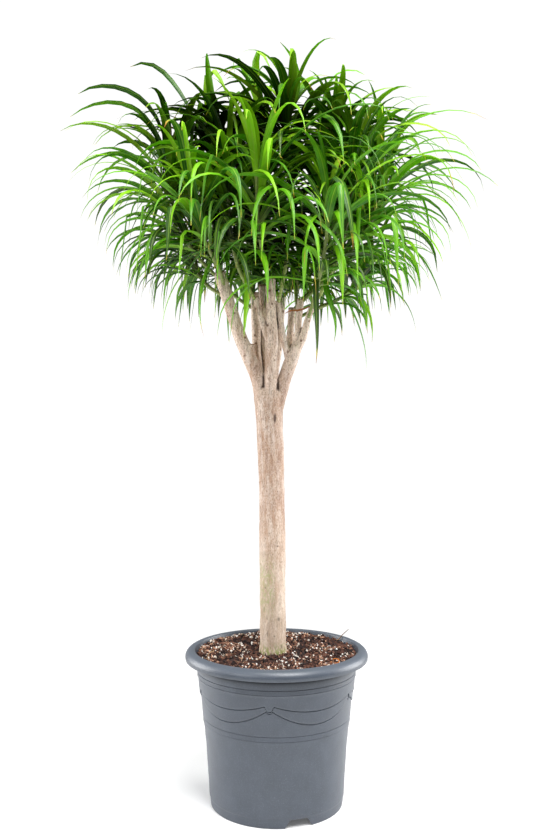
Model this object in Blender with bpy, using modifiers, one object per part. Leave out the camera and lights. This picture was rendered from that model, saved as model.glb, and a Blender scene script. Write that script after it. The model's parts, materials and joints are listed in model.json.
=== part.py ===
"""Potted dracaena: a nursery pot filled with soil, a bare trunk with pruned branches, and leafy shoots.

Metres, +Z up. The origin is the centre of the circle that the pot's foot stands on.
The best side faces -Y. Each separate piece is one named object.
"""

import math
import random

import bmesh
import bpy
from mathutils import Matrix, Vector
from mathutils.bvhtree import BVHTree

MM = 0.001
GAP = 0.3 * MM
UP = Vector((0, 0, 1))

# Driving dimensions of the pot
RIM_RADIUS = 170 * MM
POT_HEIGHT = 288 * MM
WALL = 3 * MM
FOOT_RADIUS = 122 * MM
FOOT_HEIGHT = 16.5 * MM
BODY_BOTTOM_RADIUS = 125.2 * MM
BODY_MIDDLE_RADIUS = 136 * MM
BODY_MIDDLE_HEIGHT = 155 * MM
STEP_TOP_RADIUS = 137.4 * MM
STEP_TOP_HEIGHT = 164 * MM
BODY_TOP_RADIUS = 142.8 * MM
COLLAR_BOTTOM_HEIGHT = 236 * MM
COLLAR_RADIUS = 148 * MM
COLLAR_TOP_HEIGHT = 266 * MM
RIM_SKIRT_HEIGHT = 264 * MM
POT_STEPS = 32

# The moulded drapery round the pot: a valance under the collar, with swags hung below it from knots
SWAGS = 5
KNOT_TURN = math.radians(-5.2)
VALANCE_EDGE_HEIGHT = 222 * MM
VALANCE_DIP = 14.9 * MM
VALANCE_PROUD = 3.2 * MM
SWAG_EDGE_HEIGHT = 214.1 * MM
SWAG_DIP = 30.9 * MM
SWAG_PROUD = 1.7 * MM
KNOT_WIDTHS = (21 * MM, 13 * MM)
KNOT_PROUD = 4.2 * MM

# Notches in the foot and drain holes in the floor
NOTCHES = 3
NOTCH_TURN = math.radians(18.5)
NOTCH_WIDTHS = (51 * MM, 32 * MM)
DRAINS = 6
DRAIN_RADIUS = 6 * MM
DRAIN_CIRCLE = 80 * MM

# The soil
SOIL_HEIGHT = 278 * MM
SOIL_LUMP = 3.5 * MM
SOIL_STEPS = POT_STEPS
SOIL_RINGS = 4

# The trunk's planted end
TRUNK_X = -6.7 * MM
TRUNK_FOOT_RADIUS = 27 * MM
TRUNK_FOOT_HEIGHT = 130 * MM
TRUNK_SIDES_LEVEL = 4
LIMB_SIDES_LEVEL = 2
SOCKET_SIDES = 8

# The shoots
STEM_RADIUS = 3.9 * MM
STEM_BASE_RADIUS = 3.4 * MM
STEM_TIP_RADIUS = 3 * MM
STEM_POINTS = 7
SHOOT_SEED = 2510

# The crown's outline, an egg with its broad end up, that the leaf tips reach
CROWN_CENTRE = Vector((0, 0, 1.21))
CROWN_RADIUS = 0.402
CROWN_UP = 0.185
CROWN_DOWN = 0.40
CROWN_UP_POWER = 2.8
CROWN_DOWN_POWER = 1.7

# One leaf blade
LEAF_WIDTH = 15.5 * MM
LEAF_KEEL = 1.7 * MM
LEAF_STEPS = 20
LEAF_RINGS = (0, 5, 10, 15, 20)
LEAF_SHORTEST = 110 * MM
LEAF_CLEARANCE = 0.6 * MM
WOOD_CLEARANCE = 6 * MM
LEAF_TRIES = 40
GOLDEN_TURN = math.radians(137.508)


def clear_scene():
    for item in list(bpy.data.objects):
        bpy.data.objects.remove(item, do_unlink=True)


def make_collection(name):
    collection = bpy.data.collections.new(name)
    bpy.context.scene.collection.children.link(collection)
    return collection


def make_material(name, colour, roughness, metallic=0.0):
    material = bpy.data.materials.new(name)
    material.use_nodes = True
    shader = material.node_tree.nodes["Principled BSDF"]
    shader.inputs["Base Color"].default_value = (*colour, 1)
    shader.inputs["Roughness"].default_value = roughness
    shader.inputs["Metallic"].default_value = metallic
    material.diffuse_color = (*colour, 1)
    return material


def add_object(name, mesh, collection, material=None):
    item = bpy.data.objects.new(name, mesh)
    collection.objects.link(item)
    if material:
        mesh.materials.clear()
        mesh.materials.append(material)
    return item


def hide_helper(item):
    item.hide_render = True
    item.display_type = "WIRE"


def apply_modifiers(item):
    """Give the object the mesh that its modifiers make, and drop the modifiers."""
    evaluated = item.evaluated_get(bpy.context.evaluated_depsgraph_get())
    mesh = bpy.data.meshes.new_from_object(evaluated)
    item.modifiers.clear()
    item.data = mesh


def curve_to_mesh(curve_object):
    """Swap a curve object for a mesh object with welded caps, in the same place."""
    evaluated = curve_object.evaluated_get(bpy.context.evaluated_depsgraph_get())
    mesh = bpy.data.meshes.new_from_object(evaluated)
    shape = bmesh.new()
    shape.from_mesh(mesh)
    bmesh.ops.remove_doubles(shape, verts=shape.verts, dist=0.01 * MM)
    bmesh.ops.recalc_face_normals(shape, faces=shape.faces)
    shape.to_mesh(mesh)
    shape.free()
    collection = curve_object.users_collection[0]
    solid = bpy.data.objects.new(curve_object.name + "_solid", mesh)
    solid.matrix_world = curve_object.matrix_world
    collection.objects.link(solid)
    bpy.data.objects.remove(curve_object, do_unlink=True)
    return solid


def add_tube(name, points, radii, collection, sides_level):
    """A round tube through the points, with its own radius at each and filled ends."""
    curve = bpy.data.curves.new(name, "CURVE")
    curve.dimensions = "3D"
    curve.bevel_depth = 1.0
    curve.bevel_resolution = sides_level
    curve.use_fill_caps = True
    spline = curve.splines.new("POLY")
    spline.points.add(len(points) - 1)
    for knot, place, radius in zip(spline.points, points, radii):
        knot.co = (*place, 1)
        knot.radius = radius
    return curve_to_mesh(add_object(name, curve, collection))


def join_with(item, collection, operation="UNION", solver="MANIFOLD"):
    """Join the object with, or cut it by, everything in a collection, then remove that collection."""
    boolean = item.modifiers.new("join", "BOOLEAN")
    boolean.operation = operation
    boolean.solver = solver
    boolean.operand_type = "COLLECTION"
    boolean.collection = collection
    apply_modifiers(item)
    for helper in list(collection.objects):
        bpy.data.objects.remove(helper, do_unlink=True)
    bpy.data.collections.remove(collection)


def shade(item, angle=math.radians(40)):
    item.data.shade_smooth()
    item.data.set_sharp_from_angle(angle=angle)


def turned_mesh(name, profile, steps, collection):
    """Turn a profile of (radius, height) pairs, listed down its outer side, about the Z axis."""
    mesh = bpy.data.meshes.new(name)
    points = [(radius, 0, height) for radius, height in profile]
    mesh.from_pydata(points, [(i, i + 1) for i in range(len(points) - 1)], [])
    item = add_object(name, mesh, collection)
    screw = item.modifiers.new("turn", "SCREW")
    screw.steps = steps
    screw.render_steps = steps
    screw.use_merge_vertices = True
    screw.merge_threshold = 0.05 * MM
    apply_modifiers(item)
    return item


def wall_radius(height):
    """Outer radius of the pot's wall at a height between the foot and the collar."""
    lower, upper = (BODY_BOTTOM_RADIUS, FOOT_HEIGHT), (BODY_MIDDLE_RADIUS, BODY_MIDDLE_HEIGHT)
    if height > BODY_MIDDLE_HEIGHT:
        lower, upper = (STEP_TOP_RADIUS, STEP_TOP_HEIGHT), (BODY_TOP_RADIUS, COLLAR_BOTTOM_HEIGHT)
    share = (height - lower[1]) / (upper[1] - lower[1])
    return lower[0] + share * (upper[0] - lower[0])


def pot_profile():
    """Outline of the moulded wall: out over the floor, up the inside, over the hollow rolled rim, down
    the outside, and back to the axis under the floor."""
    floor = FOOT_HEIGHT
    skirt = RIM_RADIUS - 1.5 * MM
    rim_hollow_top = COLLAR_TOP_HEIGHT + 12 * MM
    inner_rim = RIM_RADIUS - 15.5 * MM
    return [
        (0, floor + WALL),
        (BODY_BOTTOM_RADIUS - WALL - 2 * MM, floor + WALL),
        (BODY_BOTTOM_RADIUS - WALL, floor + WALL + 2 * MM),
        (BODY_MIDDLE_RADIUS - WALL, BODY_MIDDLE_HEIGHT),
        (BODY_TOP_RADIUS - WALL, COLLAR_BOTTOM_HEIGHT),
        (COLLAR_RADIUS - WALL, COLLAR_TOP_HEIGHT),
        (inner_rim - 1 * MM, POT_HEIGHT - 4 * MM),
        (inner_rim + 4 * MM, POT_HEIGHT - 0.2 * MM),
        (RIM_RADIUS - 7 * MM, POT_HEIGHT),
        (RIM_RADIUS - 1.5 * MM, POT_HEIGHT - 4.5 * MM),
        (RIM_RADIUS, POT_HEIGHT - 11 * MM),
        (skirt, RIM_SKIRT_HEIGHT),
        (skirt - WALL, RIM_SKIRT_HEIGHT),
        (skirt - WALL, rim_hollow_top),
        (COLLAR_RADIUS + 2 * MM, rim_hollow_top),
        (COLLAR_RADIUS, COLLAR_TOP_HEIGHT),
        (COLLAR_RADIUS, COLLAR_BOTTOM_HEIGHT + 1.5 * MM),
        (BODY_TOP_RADIUS, COLLAR_BOTTOM_HEIGHT),
        (STEP_TOP_RADIUS, STEP_TOP_HEIGHT),
        (BODY_MIDDLE_RADIUS, BODY_MIDDLE_HEIGHT),
        (BODY_BOTTOM_RADIUS, FOOT_HEIGHT),
        (BODY_BOTTOM_RADIUS - 1.2 * MM, FOOT_HEIGHT - 0.4 * MM),
        (FOOT_RADIUS, 0),
        (FOOT_RADIUS - WALL, 0),
        (FOOT_RADIUS - WALL, floor - 1 * MM),
        (0, floor - 1 * MM),
    ]


def add_drape(turn, top, edge, proud, collection):
    """One draped panel between two knots. Top and edge each give a height at a share of the span."""
    columns = 6
    span = 2 * math.pi / SWAGS
    mesh = bpy.data.meshes.new("drape")
    points = []
    for i in range(columns + 1):
        share = i / columns
        angle = turn + span * share
        for height in (edge(share), top(share)):
            radius = wall_radius(height) + proud
            points.append((radius * math.sin(angle), -radius * math.cos(angle), height))
    faces = [(2 * i, 2 * i + 2, 2 * i + 3, 2 * i + 1) for i in range(columns)]
    mesh.from_pydata(points, [], faces)
    drape = add_object("drape", mesh, collection)
    solidify = drape.modifiers.new("thickness", "SOLIDIFY")
    solidify.thickness = proud + WALL / 2
    solidify.offset = -1
    apply_modifiers(drape)


def valance_edge(share):
    return VALANCE_EDGE_HEIGHT - VALANCE_DIP * (1 - (2 * share - 1) ** 2)


def swag_edge(share):
    return SWAG_EDGE_HEIGHT - SWAG_DIP * (1 - (2 * share - 1) ** 2)


def valance_top(share):
    return COLLAR_BOTTOM_HEIGHT - 0.2 * MM


def swag_top(share):
    return valance_edge(share) + 2 * MM


def prism_between(outline, near, far):
    """A closed prism of an outline of (x, z) points, from -near to -far along Y."""
    shape = bmesh.new()
    face = shape.faces.new([shape.verts.new((x, -near, z)) for x, z in outline])
    push = bmesh.ops.extrude_face_region(shape, geom=[face])
    moved = [part for part in push["geom"] if isinstance(part, bmesh.types.BMVert)]
    bmesh.ops.translate(shape, verts=moved, vec=(0, near - far, 0))
    bmesh.ops.recalc_face_normals(shape, faces=shape.faces)
    return shape


def add_prism(name, outline, near, far, turn, collection):
    mesh = bpy.data.meshes.new(name)
    shape = prism_between(outline, near, far)
    bmesh.ops.rotate(shape, verts=shape.verts, matrix=Matrix.Rotation(turn, 3, "Z"))
    shape.to_mesh(mesh)
    shape.free()
    return add_object(name, mesh, collection)


def add_knot(turn, collection):
    wide, narrow = (width / 2 for width in KNOT_WIDTHS)
    low, high = SWAG_EDGE_HEIGHT - 3 * MM, VALANCE_EDGE_HEIGHT - 1 * MM
    radius = wall_radius(high)
    outline = [(-narrow, low), (narrow, low), (wide, high), (-wide, high)]
    add_prism("knot", outline, radius - 2 * MM, radius + KNOT_PROUD, turn, collection)


def add_notch_cutter(turn, collection):
    """A prism with sloping sides that opens the foot skirt from below."""
    wide, narrow = (width / 2 for width in NOTCH_WIDTHS)
    low, high = -5 * MM, FOOT_HEIGHT - 1 * MM
    wide += (wide - narrow) / high * -low
    outline = [(-wide, low), (wide, low), (narrow, high), (-narrow, high)]
    near, far = FOOT_RADIUS - 12 * MM, FOOT_RADIUS + 12 * MM
    hide_helper(add_prism("notch_cutter", outline, near, far, turn, collection))


def add_drain_cutter(turn, collection):
    mesh = bpy.data.meshes.new("drain_cutter")
    shape = bmesh.new()
    place = Matrix.Rotation(turn, 4, "Z") @ Matrix.Translation((0, -DRAIN_CIRCLE, FOOT_HEIGHT))
    bmesh.ops.create_cone(shape, cap_ends=True, segments=8, radius1=DRAIN_RADIUS,
                          radius2=DRAIN_RADIUS, depth=6 * WALL, matrix=place)
    shape.to_mesh(mesh)
    shape.free()
    hide_helper(add_object("drain_cutter", mesh, collection))


def build_pot(parts):
    plastic = make_material("grey_polypropylene", (0.13, 0.16, 0.20), 0.5)
    pot = turned_mesh("pot", pot_profile(), POT_STEPS, parts)
    ornament = make_collection("pot_ornament")
    cutters = make_collection("pot_cutters")
    for i in range(SWAGS):
        turn = KNOT_TURN + 2 * math.pi * i / SWAGS
        add_drape(turn, valance_top, valance_edge, VALANCE_PROUD, ornament)
        add_drape(turn, swag_top, swag_edge, SWAG_PROUD, ornament)
        add_knot(turn, ornament)
    for i in range(NOTCHES):
        add_notch_cutter(NOTCH_TURN + 2 * math.pi * i / NOTCHES, cutters)
    for i in range(DRAINS):
        add_drain_cutter(NOTCH_TURN + 2 * math.pi * i / DRAINS, cutters)
    join_with(pot, ornament)
    join_with(pot, cutters, "DIFFERENCE")
    pot.data.materials.clear()
    pot.data.materials.append(plastic)
    shade(pot)


def inner_wall_radius(height):
    """Inner radius of the pot at a height above its floor."""
    if height < BODY_MIDDLE_HEIGHT:
        lower = (BODY_BOTTOM_RADIUS - WALL, FOOT_HEIGHT + WALL + 2 * MM)
        upper = (BODY_MIDDLE_RADIUS - WALL, BODY_MIDDLE_HEIGHT)
    elif height < COLLAR_BOTTOM_HEIGHT:
        lower = (BODY_MIDDLE_RADIUS - WALL, BODY_MIDDLE_HEIGHT)
        upper = (BODY_TOP_RADIUS - WALL, COLLAR_BOTTOM_HEIGHT)
    elif height < COLLAR_TOP_HEIGHT:
        lower = (BODY_TOP_RADIUS - WALL, COLLAR_BOTTOM_HEIGHT)
        upper = (COLLAR_RADIUS - WALL, COLLAR_TOP_HEIGHT)
    else:
        lower = (COLLAR_RADIUS - WALL, COLLAR_TOP_HEIGHT)
        upper = (RIM_RADIUS - 16.5 * MM, POT_HEIGHT - 4 * MM)
    share = (height - lower[1]) / (upper[1] - lower[1])
    return lower[0] + share * (upper[0] - lower[0])


def soil_lump(x, y):
    """Height of the crumbly surface above its mean level."""
    waves = math.sin(61 * x + 1.3) * math.cos(53 * y - 0.4) + 0.6 * math.sin(127 * x - 88 * y)
    return SOIL_LUMP * waves / 1.6


def build_soil(parts):
    """A filled polar grid: up from the floor, over the lumpy surface, and down the trunk's plain hole."""
    potting_mix = make_material("potting_mix", (0.045, 0.025, 0.016), 0.95)
    hole = (TRUNK_FOOT_RADIUS + GAP) / math.cos(math.pi / SOIL_STEPS)
    floor = FOOT_HEIGHT + WALL + GAP
    rings = []

    def add_ring(height, share, lumpy=0.0):
        """A ring between the trunk's hole (share 0) and the pot's wall (share 1)."""
        ring = []
        wall = inner_wall_radius(max(height, FOOT_HEIGHT + WALL + 2 * MM)) - GAP
        for i in range(SOIL_STEPS):
            angle = 2 * math.pi * i / SOIL_STEPS
            x = (TRUNK_X + hole * math.cos(angle)) * (1 - share) + wall * math.cos(angle) * share
            y = hole * math.sin(angle) * (1 - share) + wall * math.sin(angle) * share
            ring.append((x, y, height + lumpy * soil_lump(x, y)))
        rings.append(ring)

    add_ring(floor, 1 - 2 * MM / BODY_BOTTOM_RADIUS)
    add_ring(FOOT_HEIGHT + WALL + 2 * MM + GAP, 1)
    add_ring(BODY_MIDDLE_HEIGHT, 1)
    add_ring(COLLAR_BOTTOM_HEIGHT, 1)
    add_ring(COLLAR_TOP_HEIGHT, 1)
    add_ring(SOIL_HEIGHT - 3 * MM, 1)
    for k in range(1, SOIL_RINGS):
        add_ring(SOIL_HEIGHT, 1 - k / SOIL_RINGS, 1.0)
    add_ring(SOIL_HEIGHT, 0)
    add_ring(TRUNK_FOOT_HEIGHT, 0)

    shape = bmesh.new()
    loops = [[shape.verts.new(point) for point in ring] for ring in rings]
    for lower, upper in zip(loops, loops[1:]):
        for i in range(SOIL_STEPS):
            j = (i + 1) % SOIL_STEPS
            shape.faces.new((lower[i], lower[j], upper[j], upper[i]))
    shape.faces.new(loops[-1])
    shape.faces.new(list(reversed(loops[0])))
    bmesh.ops.triangulate(shape, faces=shape.faces)
    bmesh.ops.recalc_face_normals(shape, faces=shape.faces)
    mesh = bpy.data.meshes.new("soil")
    shape.to_mesh(mesh)
    shape.free()
    soil = add_object("soil", mesh, parts, potting_mix)
    shade(soil)


# The wood: each limb is a list of (x, y, z, radius) in millimetres, from its root to its cut end
TRUNK_LINE = [
    (-6.7, 0, 130.3, 26.5), (-6.7, 0, 262, 27.0), (-6.7, 0, 300, 24.8), (-7.2, 0, 380, 23.9),
    (-7.8, 0, 470, 24.6), (-8.8, 0, 560, 23.8), (-10.4, 0, 640, 24.6), (-12.8, 0, 700, 25.0),
    (-14.4, 0, 738, 26.4), (-15.0, 0, 758, 27.6), (-15.2, 0, 771, 23.0),
]
LIMBS = {
    "left": [(-25, -3, 732, 14), (-31, -5, 774, 14), (-42, -9, 806, 13.4), (-56, -14, 838, 13),
             (-70, -19, 873, 12), (-86, -24, 921, 11.4), (-101, -28, 968, 11.2),
             (-104, -28, 981, 11.2)],
    "left_stub": [(-50, -14, 826, 6), (-47.5, -16, 842, 5.6), (-46, -17, 851, 5.2)],
    "middle_left": [(-24, 12, 745, 11), (-34, 20, 800, 9), (-38, 28, 845, 8.4), (-39, 36, 890, 8.8),
                    (-41, 42, 935, 8.2), (-41.5, 43, 954, 8.2)],
    "middle_back": [(-16, 16, 745, 12), (-24, 32, 805, 9.6), (-27, 44, 850, 8.8), (-27, 54, 905, 8.2),
                    (-27, 61, 953, 7.8), (-27, 62, 971, 7.8)],
    "front": [(-13, -9, 735, 14.5), (-11, -17, 795, 11.8), (-9, -24, 860, 12),
              (-10, -28, 905, 9.2), (-11, -31, 950, 8.8), (-11, -31, 970, 8.8)],
    "front_twig": [(-12, -25, 850, 6), (-22, -28, 876, 5.8), (-34, -30, 915, 5.8), (-38, -31, 936, 5.6)],
    "right": [(-2, -2, 735, 15), (13, -4, 782, 12.8), (27, -6, 822, 12.6), (38, -8, 848, 9.8)],
    "right_inner": [(24, -8, 818, 8), (17, -13, 845, 6.4), (9, -17, 880, 6.2), (3, -20, 914, 6),
                    (1, -20, 930, 6)],
    "right_back": [(25, -3, 815, 9), (25, 8, 850, 7.4), (27, 18, 888, 7), (29, 24, 922, 6.8)],
    "right_middle": [(31, -6, 832, 9), (38, -4, 862, 7), (41, -2, 900, 6.6), (45, -1, 936, 6.4)],
    "right_outer": [(35, -8, 840, 8.6), (48, -10, 862, 7), (57, -13, 895, 6.4), (65, -16, 919, 6.2)],
    "back": [(-11, 14, 745, 12), (-6, 32, 800, 10.2), (2, 46, 850, 9.2), (7, 58, 905, 8.6),
             (9, 64, 950, 8.4)],
}

# The shoots: the limb each one sprouts from, how far below the limb's cut end, the compass turn of
# its exit (0 to the right, 90 to the back, -90 to the front) and rise in degrees, the place of its
# growing tip in millimetres, and its number of leaves
SHOOTS = {
    "left": ("left", 14, 190, 40, (-200, -14, 1182), 18),
    "left_front": ("left", 30, 262, 38, (-150, -125, 1105), 18),
    "left_low": ("left", 48, 150, 28, (-160, 76, 1070), 18),
    "fan": ("front_twig", 7, 215, 50, (-86, -92, 1165), 18),
    "top_left": ("middle_left", 10, 140, 60, (-116, 44, 1244), 18),
    "back_left": ("middle_left", 32, 165, 30, (-128, 150, 1140), 18),
    "top_back": ("middle_back", 9, 60, 62, (-26, 92, 1270), 18),
    "back": ("middle_back", 30, 100, 30, (-30, 198, 1110), 18),
    "front": ("front", 12, 250, 48, (-34, -180, 1128), 18),
    "top": ("right_inner", 6, 300, 62, (20, -42, 1274), 18),
    "front_right": ("right_outer", 22, 285, 40, (88, -160, 1095), 18),
    "right_front": ("right_outer", 6, 330, 55, (138, -70, 1180), 18),
    "right": ("right_middle", 8, 10, 45, (200, 4, 1172), 18),
    "top_right": ("right_middle", 26, 110, 58, (108, 28, 1238), 18),
    "back_right": ("right_back", 8, 50, 42, (146, 138, 1130), 18),
    "right_low": ("right_back", 26, 20, 30, (190, 66, 1030), 18),
    "back_low": ("back", 12, 75, 34, (60, 186, 1050), 18),
}


def limb_points(line):
    return [Vector(point[:3]) * MM for point in line]


def limb_radii(line):
    return [point[3] * MM for point in line]


def point_below_end(line, below):
    """The point on a limb's axis at a distance below its cut end."""
    points = limb_points(line)
    for i in range(len(points) - 1, 0, -1):
        run = (points[i] - points[i - 1]).length
        if below <= run:
            return points[i].lerp(points[i - 1], below / run)
        below -= run
    raise ValueError("the limb is shorter than that")


def heading_vector(turn, rise):
    flat = math.cos(rise)
    return Vector((flat * math.cos(turn), flat * math.sin(turn), math.sin(rise)))


def stem_line(root, exit_direction, tip):
    """A shoot's axis: out of the limb in a straight line, then curving up to its growing tip."""
    reach = (tip - root).length
    socket = root + exit_direction * 22 * MM
    controls = [socket, socket + exit_direction * reach * 0.3, tip - UP * reach * 0.34, tip]
    points = [root]
    for i in range(STEM_POINTS - 1):
        t = i / (STEM_POINTS - 2)
        weights = [(1 - t) ** 3, 3 * t * (1 - t) ** 2, 3 * t * t * (1 - t), t ** 3]
        points.append(sum((w * c for w, c in zip(weights, controls)), Vector((0, 0, 0))))
    return points


def stem_radii():
    radii = [STEM_BASE_RADIUS, STEM_BASE_RADIUS]
    for i in range(2, STEM_POINTS):
        share = (i - 2) / (STEM_POINTS - 3)
        radii.append(STEM_RADIUS + share * (STEM_TIP_RADIUS - STEM_RADIUS))
    return radii


def point_along(points, share):
    """The point at a share of a line's length."""
    runs = [(b - a).length for a, b in zip(points, points[1:])]
    left = share * sum(runs)
    for i, run in enumerate(runs):
        if left <= run or i == len(runs) - 1:
            return points[i].lerp(points[i + 1], min(1, left / run))
        left -= run


def leaf_line(leaf):
    """Centre line of an arching leaf: it sets out at its rise and sinks under its own weight."""
    points = [leaf["root"]]
    for i in range(LEAF_STEPS):
        share = (i + 0.5) / LEAF_STEPS
        rise = leaf["rise"] - leaf["droop"] * share ** 1.7
        if share > leaf["kink"]:
            rise -= math.radians(75)
        rise = max(rise, math.radians(-82))
        turn = leaf["turn"] + leaf["drift"] * share
        points.append(points[-1] + heading_vector(turn, rise) * leaf["length"] / LEAF_STEPS)
    return points


def leaf_width(share):
    """Width of the blade as a part of its widest: narrow at the stem, widest near a third, pointed."""
    if share < 0.34:
        return 0.28 + 0.72 * math.sin(math.pi / 2 * share / 0.34)
    return 1 - ((share - 0.34) / 0.66) ** 2.1


def leaf_section(leaf, points, i, extra=0.0):
    """Left edge, right edge and keel of the blade at a point of its centre line."""
    share = i / LEAF_STEPS
    along = (points[min(i + 1, LEAF_STEPS)] - points[max(i - 1, 0)]).normalized()
    turn = leaf["turn"] + leaf["drift"] * share
    side = Vector((-math.sin(turn), math.cos(turn), 0))
    side = Matrix.Rotation(leaf["roll"] * share, 3, along) @ side
    side = (side - along * side.dot(along)).normalized()
    under = side.cross(along).normalized()
    if under.z > 0 and abs(along.z) < 0.9:
        under = -under
    half = (leaf["width"] * leaf_width(share)) / 2 + extra
    keel = LEAF_KEEL * (0.45 + 0.55 * leaf_width(share)) + extra
    centre = points[i]
    return centre + side * half, centre - side * half, centre + under * keel


def leaf_shell(leaf, rings=LEAF_RINGS, extra=0.0):
    """Vertices and triangles of one closed blade, each side quad split along its outer diagonal."""
    points = leaf_line(leaf)
    corners = []
    for i in rings[:-1]:
        corners.extend(leaf_section(leaf, points, i, extra))
    corners.append(points[rings[-1]])
    faces = [(0, 1, 2)]
    ring_count = len(rings) - 1
    for ring in range(ring_count - 1):
        a = ring * 3
        middle = sum((corners[a + k] for k in range(6)), Vector((0, 0, 0))) / 6
        for k, m in ((0, 1), (1, 2), (2, 0)):
            p, q, r, s = a + k, a + m, a + 3 + m, a + 3 + k
            one = (corners[p] + corners[r]) / 2
            other = (corners[q] + corners[s]) / 2
            if (one - middle).length > (other - middle).length:
                faces.extend([(p, r, q), (p, s, r)])
            else:
                faces.extend([(p, s, q), (q, s, r)])
    last = (ring_count - 1) * 3
    tip = len(corners) - 1
    faces.extend([(last + k, tip, last + m) for k, m in ((0, 1), (1, 2), (2, 0))])
    return corners, faces


def shell_tree(shells):
    """One search tree over many shells."""
    corners = []
    faces = []
    for shell_corners, shell_faces in shells:
        start = len(corners)
        corners.extend(shell_corners)
        faces.extend(tuple(start + i for i in face) for face in shell_faces)
    return BVHTree.FromPolygons(corners, faces)


def crown_level(point):
    """0 at the crown's widest height on the axis, 1 on its outline: blunt above and tapering below."""
    offset = point - CROWN_CENTRE
    flat = math.hypot(offset.x, offset.y) / CROWN_RADIUS
    if offset.z > 0:
        return flat ** CROWN_UP_POWER + (offset.z / CROWN_UP) ** CROWN_UP_POWER
    return flat ** CROWN_DOWN_POWER + (-offset.z / CROWN_DOWN) ** CROWN_DOWN_POWER


def inside_crown(points):
    return all(crown_level(point) <= 1 for point in points)


def clear_of_wood(points, margin):
    """True where no point comes within the margin of a limb."""
    for line in LIMBS.values():
        limb = limb_points(line)
        radii = limb_radii(line)
        for a, b, radius in zip(limb, limb[1:], radii):
            run = b - a
            for point in points:
                share = max(0, min(1, (point - a).dot(run) / run.length_squared))
                if (point - a - run * share).length < radius + margin:
                    return False
    return True


def draw_leaf(rng, stem, outward, order, count):
    """One leaf drawn by its place on the stem: low ones spread and hang, top ones stand and are young."""
    share = (order + 0.5) / count
    height = 0.30 + 0.69 * share
    turn = order * GOLDEN_TURN + rng.uniform(-0.35, 0.35)
    away = heading_vector(turn, 0).dot(outward)
    if away < -0.35 and share < 0.75:
        turn = math.atan2(outward.y, outward.x) + rng.uniform(-1.9, 1.9)
    rise = math.radians(18 + 58 * share ** 1.4 + rng.uniform(-12, 12))
    droop = math.radians(126 - 14 * share + rng.uniform(-26, 30))
    kink = rng.uniform(0.5, 0.62) if rng.random() < 0.12 else 2.0
    return {
        "root": point_along(stem, height),
        "turn": turn,
        "rise": rise,
        "droop": droop,
        "drift": rng.uniform(-0.5, 0.5),
        "roll": rng.uniform(-0.7, 0.7),
        "kink": round(kink * LEAF_STEPS) / LEAF_STEPS,
        "length": rng.uniform(0.225, 0.31) * (1 - 0.35 * max(0, share - 0.75) / 0.25),
        "width": LEAF_WIDTH * rng.uniform(0.8, 1.08),
    }


def fit_to_crown(leaf):
    """Shorten a leaf until it stays within the crown's outline."""
    for _ in range(12):
        if inside_crown(leaf_line(leaf)):
            return True
        leaf["length"] *= 0.94
    return False


def lay_out_shoots():
    """Every shoot's stem and leaves, placed so that no two shoots touch."""
    streams = {name: random.Random(SHOOT_SEED + i) for i, name in enumerate(SHOOTS)}
    stems = {}
    for name, (limb, below, turn, rise, tip, _) in SHOOTS.items():
        root = point_below_end(LIMBS[limb], below * MM)
        exit_direction = heading_vector(math.radians(turn), math.radians(rise))
        stems[name] = stem_line(root, exit_direction, Vector(tip) * MM)
    leaves = {name: [] for name in SHOOTS}
    whole = {name: [tube_shell(stems[name], stem_radii(), LEAF_CLEARANCE)] for name in SHOOTS}
    free = {name: list(shells) for name, shells in whole.items()}
    for order in range(max(entry[5] for entry in SHOOTS.values())):
        trees = {name: shell_tree(shells) for name, shells in whole.items()}
        for name, entry in SHOOTS.items():
            if order >= entry[5]:
                continue
            others = [tree for key, tree in trees.items() if key != name]
            leaf = find_leaf(streams[name], stems[name], order, entry[5], others,
                             shell_tree(free[name]))
            if leaf:
                leaves[name].append(leaf)
                whole[name].append(leaf_shell(leaf, extra=LEAF_CLEARANCE))
                free[name].append(leaf_shell(leaf, LEAF_RINGS[1:], LEAF_CLEARANCE))
                trees[name] = shell_tree(whole[name])
    return stems, leaves


def find_leaf(rng, stem, order, count, others, own):
    """Draw leaves until one clears the wood, the other shoots and its own shoot's blades."""
    outward = Vector((stem[-1].x, stem[-1].y, 0)) / 0.2
    for _ in range(LEAF_TRIES):
        leaf = draw_leaf(rng, stem, outward, order, count)
        if not fit_to_crown(leaf) or leaf["length"] < LEAF_SHORTEST:
            continue
        if not clear_of_wood(leaf_line(leaf)[2:], WOOD_CLEARANCE):
            continue
        if shell_tree([leaf_shell(leaf, LEAF_RINGS[1:], LEAF_CLEARANCE)]).overlap(own):
            continue
        tree = shell_tree([leaf_shell(leaf, extra=LEAF_CLEARANCE)])
        if not any(tree.overlap(other) for other in others):
            return leaf
    return None


def tube_shell(points, radii, extra, sides=6):
    """Vertices and faces of a plain tube, for the search trees only."""
    corners = []
    for i, (point, radius) in enumerate(zip(points, radii)):
        along = (points[min(i + 1, len(points) - 1)] - points[max(i - 1, 0)]).normalized()
        across = along.orthogonal().normalized()
        for k in range(sides):
            spoke = Matrix.Rotation(2 * math.pi * k / sides, 3, along) @ across
            corners.append(point + spoke * (radius + extra))
    faces = []
    for i in range(len(points) - 1):
        for k in range(sides):
            m = (k + 1) % sides
            faces.append((i * sides + k, i * sides + m, (i + 1) * sides + m, (i + 1) * sides + k))
    return corners, faces


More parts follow.
